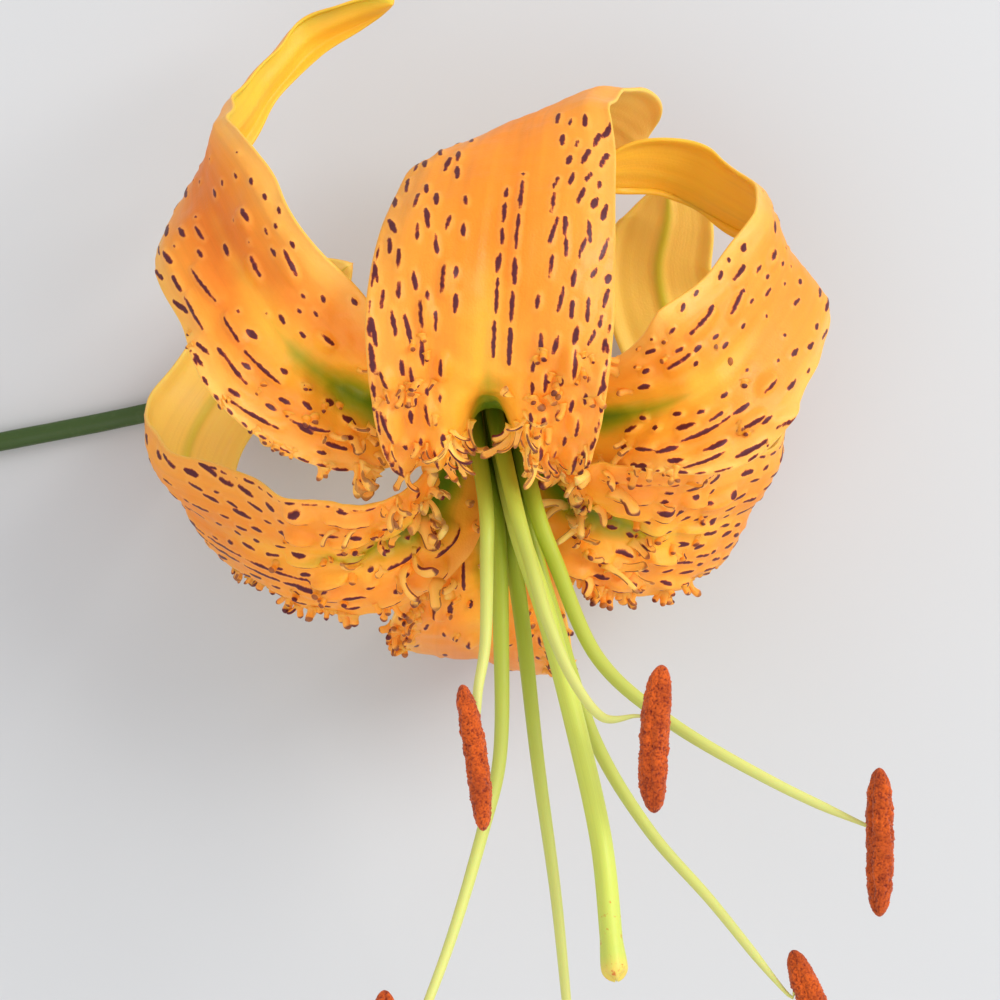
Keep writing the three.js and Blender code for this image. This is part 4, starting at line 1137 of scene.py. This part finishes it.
class LilyStamens(PropertyGroup):
    # darker foot: partly the filament's own green, partly painted shade in the throat
    foot_colour: colour_property("Filament foot", (112, 142, 26), "Filament near the throat")
    filament_colour: colour_property("Filament", (176, 188, 52), "Filament half way")
    end_colour: colour_property("Filament end", (214, 216, 124), "Filament near the anther")
    pollen_colour: colour_property("Pollen", (214, 92, 20), "Bright pollen grains")
    pollen_dark_colour: colour_property("Pollen shade", (120, 34, 12), "Gaps between the grains")
    filament_foot: size_property("Filament foot", 2.12, "Diameter near the throat")
    filament_end: size_property("Filament end", 0.84, "Diameter near the anther")
    pollen_grain: size_property("Pollen grain", 0.045, "Roughness of the pollen")


class LilyPistil(PropertyGroup):
    foot_colour: colour_property("Ovary", (124, 156, 28), "Ovary and foot of the style")
    style_colour: colour_property("Style", (204, 214, 92), "Style")
    stigma_colour: colour_property("Stigma", (232, 208, 96), "Three-lobed tip")
    style_diameter: size_property("Style", 2.1, "Diameter of the style")
    stigma_diameter: size_property("Stigma", 2.5, "Diameter of the stigma")


class LilyStem(PropertyGroup):
    colour: colour_property("Skin", (58, 82, 28), "Flower stalk")
    bloom_colour: colour_property("Bloom", (92, 110, 72), "Waxy bloom on the skin")
    receptacle_colour: colour_property("Receptacle", (112, 138, 44), "Seat of the flower")
    cut_colour: colour_property("Cut end", (196, 206, 140), "Flesh at the cut")
    diameter: size_property("Diameter", 2.1, "Diameter of the stalk")


class LilyStage(PropertyGroup):
    table_colour: colour_property("Table", (207, 208, 208), "Plain table under the flower")
    key_power: power_property("Key light", 4.9, "Large soft lamp")
    fill_power: power_property("Fill light", 0.4, "Lamp on the other side")
    air_strength: factor_property("Room light", 0.8, "Even light from all round")


class LilySettings(PropertyGroup):
    tepals: PointerProperty(type=LilyTepals)
    stamens: PointerProperty(type=LilyStamens)
    pistil: PointerProperty(type=LilyPistil)
    stem: PointerProperty(type=LilyStem)
    stage: PointerProperty(type=LilyStage)


# ---- operators -------------------------------------------------------------------------------------------
class LILY_OT_camera(Operator):
    """Places the camera straight above the flower's throat"""

    bl_idname = "lily.camera"
    bl_label = "Camera"

    def execute(self, context):
        data = bpy.data.cameras.new("lily_camera")
        data.lens, data.sensor_width = LENS_MM, SENSOR_MM
        data.clip_start, data.clip_end = 0.01, 10
        camera = bpy.data.objects.new("lily_camera", data)
        camera.location = (FLOWER_MIDDLE + np.array([0, 0, CAMERA_HEIGHT_MM])) * MM
        context.scene.collection.objects.link(camera)
        context.scene.camera = camera
        return {"FINISHED"}


class LILY_OT_tepals(Operator):
    """Builds the six spotted tepals with their fleshy fingers"""

    bl_idname = "lily.tepals"
    bl_label = "Tepals"

    def execute(self, context):
        settings = context.scene.lily.tepals
        materials = {
            "tepal_inner": tepal_material("Inner Tepal Flesh", settings, 0.3, settings.deep_colour,
                                          settings.back_colour),
            "tepal_outer": tepal_material("Outer Tepal Flesh", settings, 0.8, settings.outer_deep_colour,
                                          settings.outer_back_colour),
        }
        for name, spec in TEPALS.items():
            build_tepal(name, settings, materials[spec["slot"]])
        return {"FINISHED"}


class LILY_OT_filaments(Operator):
    """Builds the six filaments"""

    bl_idname = "lily.filaments"
    bl_label = "Filaments"

    def execute(self, context):
        settings = context.scene.lily.stamens
        material = filament_material(settings)
        for number in range(len(STAMENS)):
            build_filament(number, settings, material)
        return {"FINISHED"}


class LILY_OT_anthers(Operator):
    """Builds the six anthers with their pollen"""

    bl_idname = "lily.anthers"
    bl_label = "Anthers"

    def execute(self, context):
        settings = context.scene.lily.stamens
        material = anther_material(settings)
        for number in range(len(STAMENS)):
            build_anther(number, settings, material)
        return {"FINISHED"}


class LILY_OT_pistil(Operator):
    """Builds the ovary, style and stigma"""

    bl_idname = "lily.pistil"
    bl_label = "Pistil"

    def execute(self, context):
        settings = context.scene.lily
        build_pistil(settings.pistil, pistil_material(settings.pistil, settings.stamens.pollen_colour))
        return {"FINISHED"}


class LILY_OT_stem(Operator):
    """Builds the cut stalk with the flower's seat"""

    bl_idname = "lily.stem"
    bl_label = "Stem"

    def execute(self, context):
        settings = context.scene.lily.stem
        build_stem(settings, stem_material(settings))
        return {"FINISHED"}


def add_lamp(context, name, place, size, power):
    """A square soft lamp that faces the flower; place and size are in mm from the flower's middle."""
    data = bpy.data.lights.new(name, "AREA")
    data.energy, data.size = power, size * MM
    lamp = bpy.data.objects.new(name, data)
    start = FLOWER_MIDDLE + np.array(place)
    lamp.location = start * MM
    way = unit(FLOWER_MIDDLE - start)
    pitch = math.acos(-way[2])
    lamp.rotation_euler = (pitch, 0, math.atan2(way[1], way[0]) - math.pi / 2)
    context.scene.collection.objects.link(lamp)


class LILY_OT_stage(Operator):
    """Builds the plain table and the soft studio light"""

    bl_idname = "lily.stage"
    bl_label = "Table and light"

    def execute(self, context):
        settings = context.scene.lily.stage
        mesh = bpy.data.meshes.new("table")
        reach = TABLE_REACH_MM * MM
        corners = [(-reach, -reach, 0), (reach, -reach, 0), (reach, reach, 0), (-reach, reach, 0)]
        mesh.from_pydata(corners, [], [(0, 1, 2, 3)])
        mesh.materials.append(table_material(settings))
        table = bpy.data.objects.new("table", mesh)
        context.scene.collection.objects.link(table)
        add_lamp(context, "key", KEY_PLACE, KEY_SIZE_MM, settings.key_power)
        add_lamp(context, "fill", FILL_PLACE, FILL_SIZE_MM, settings.fill_power)
        world = bpy.data.worlds.new("lily_room")
        world.use_nodes = True
        sky = world.node_tree.nodes["Background"]
        sky.inputs["Color"].default_value = ROOM_COLOUR
        sky.inputs["Strength"].default_value = settings.air_strength
        context.scene.world = world
        context.scene.view_settings.view_transform = "Standard"
        return {"FINISHED"}


class LILY_PT_panel(Panel):
    """Settings and steps of the cut lily"""

    bl_idname = "LILY_PT_panel"
    bl_label = "Cut Lily"
    bl_space_type = "VIEW_3D"
    bl_region_type = "UI"
    bl_category = "Cut Lily"

    def draw(self, context):
        settings = context.scene.lily
        for step in STEPS:
            self.layout.operator(step.bl_idname)
        for label in ("tepals", "stamens", "pistil", "stem", "stage"):
            box = self.layout.box()
            box.label(text=label.capitalize())
            group = getattr(settings, label)
            for key in group.__annotations__:
                box.prop(group, key)


STEPS = (LILY_OT_camera, LILY_OT_tepals, LILY_OT_filaments, LILY_OT_anthers, LILY_OT_pistil, LILY_OT_stem,
         LILY_OT_stage)
CLASSES = (LilyTepals, LilyStamens, LilyPistil, LilyStem, LilyStage, LilySettings, *STEPS, LILY_PT_panel)


def register():
    for cls in CLASSES:
        bpy.utils.register_class(cls)
    bpy.types.Scene.lily = PointerProperty(type=LilySettings)


def unregister():
    del bpy.types.Scene.lily
    for cls in reversed(CLASSES):
        bpy.utils.unregister_class(cls)


def main():
    register()
    for step in STEPS:
        area, name = step.bl_idname.split(".")
        getattr(getattr(bpy.ops, area), name)()


if __name__ == "__main__":
    main()
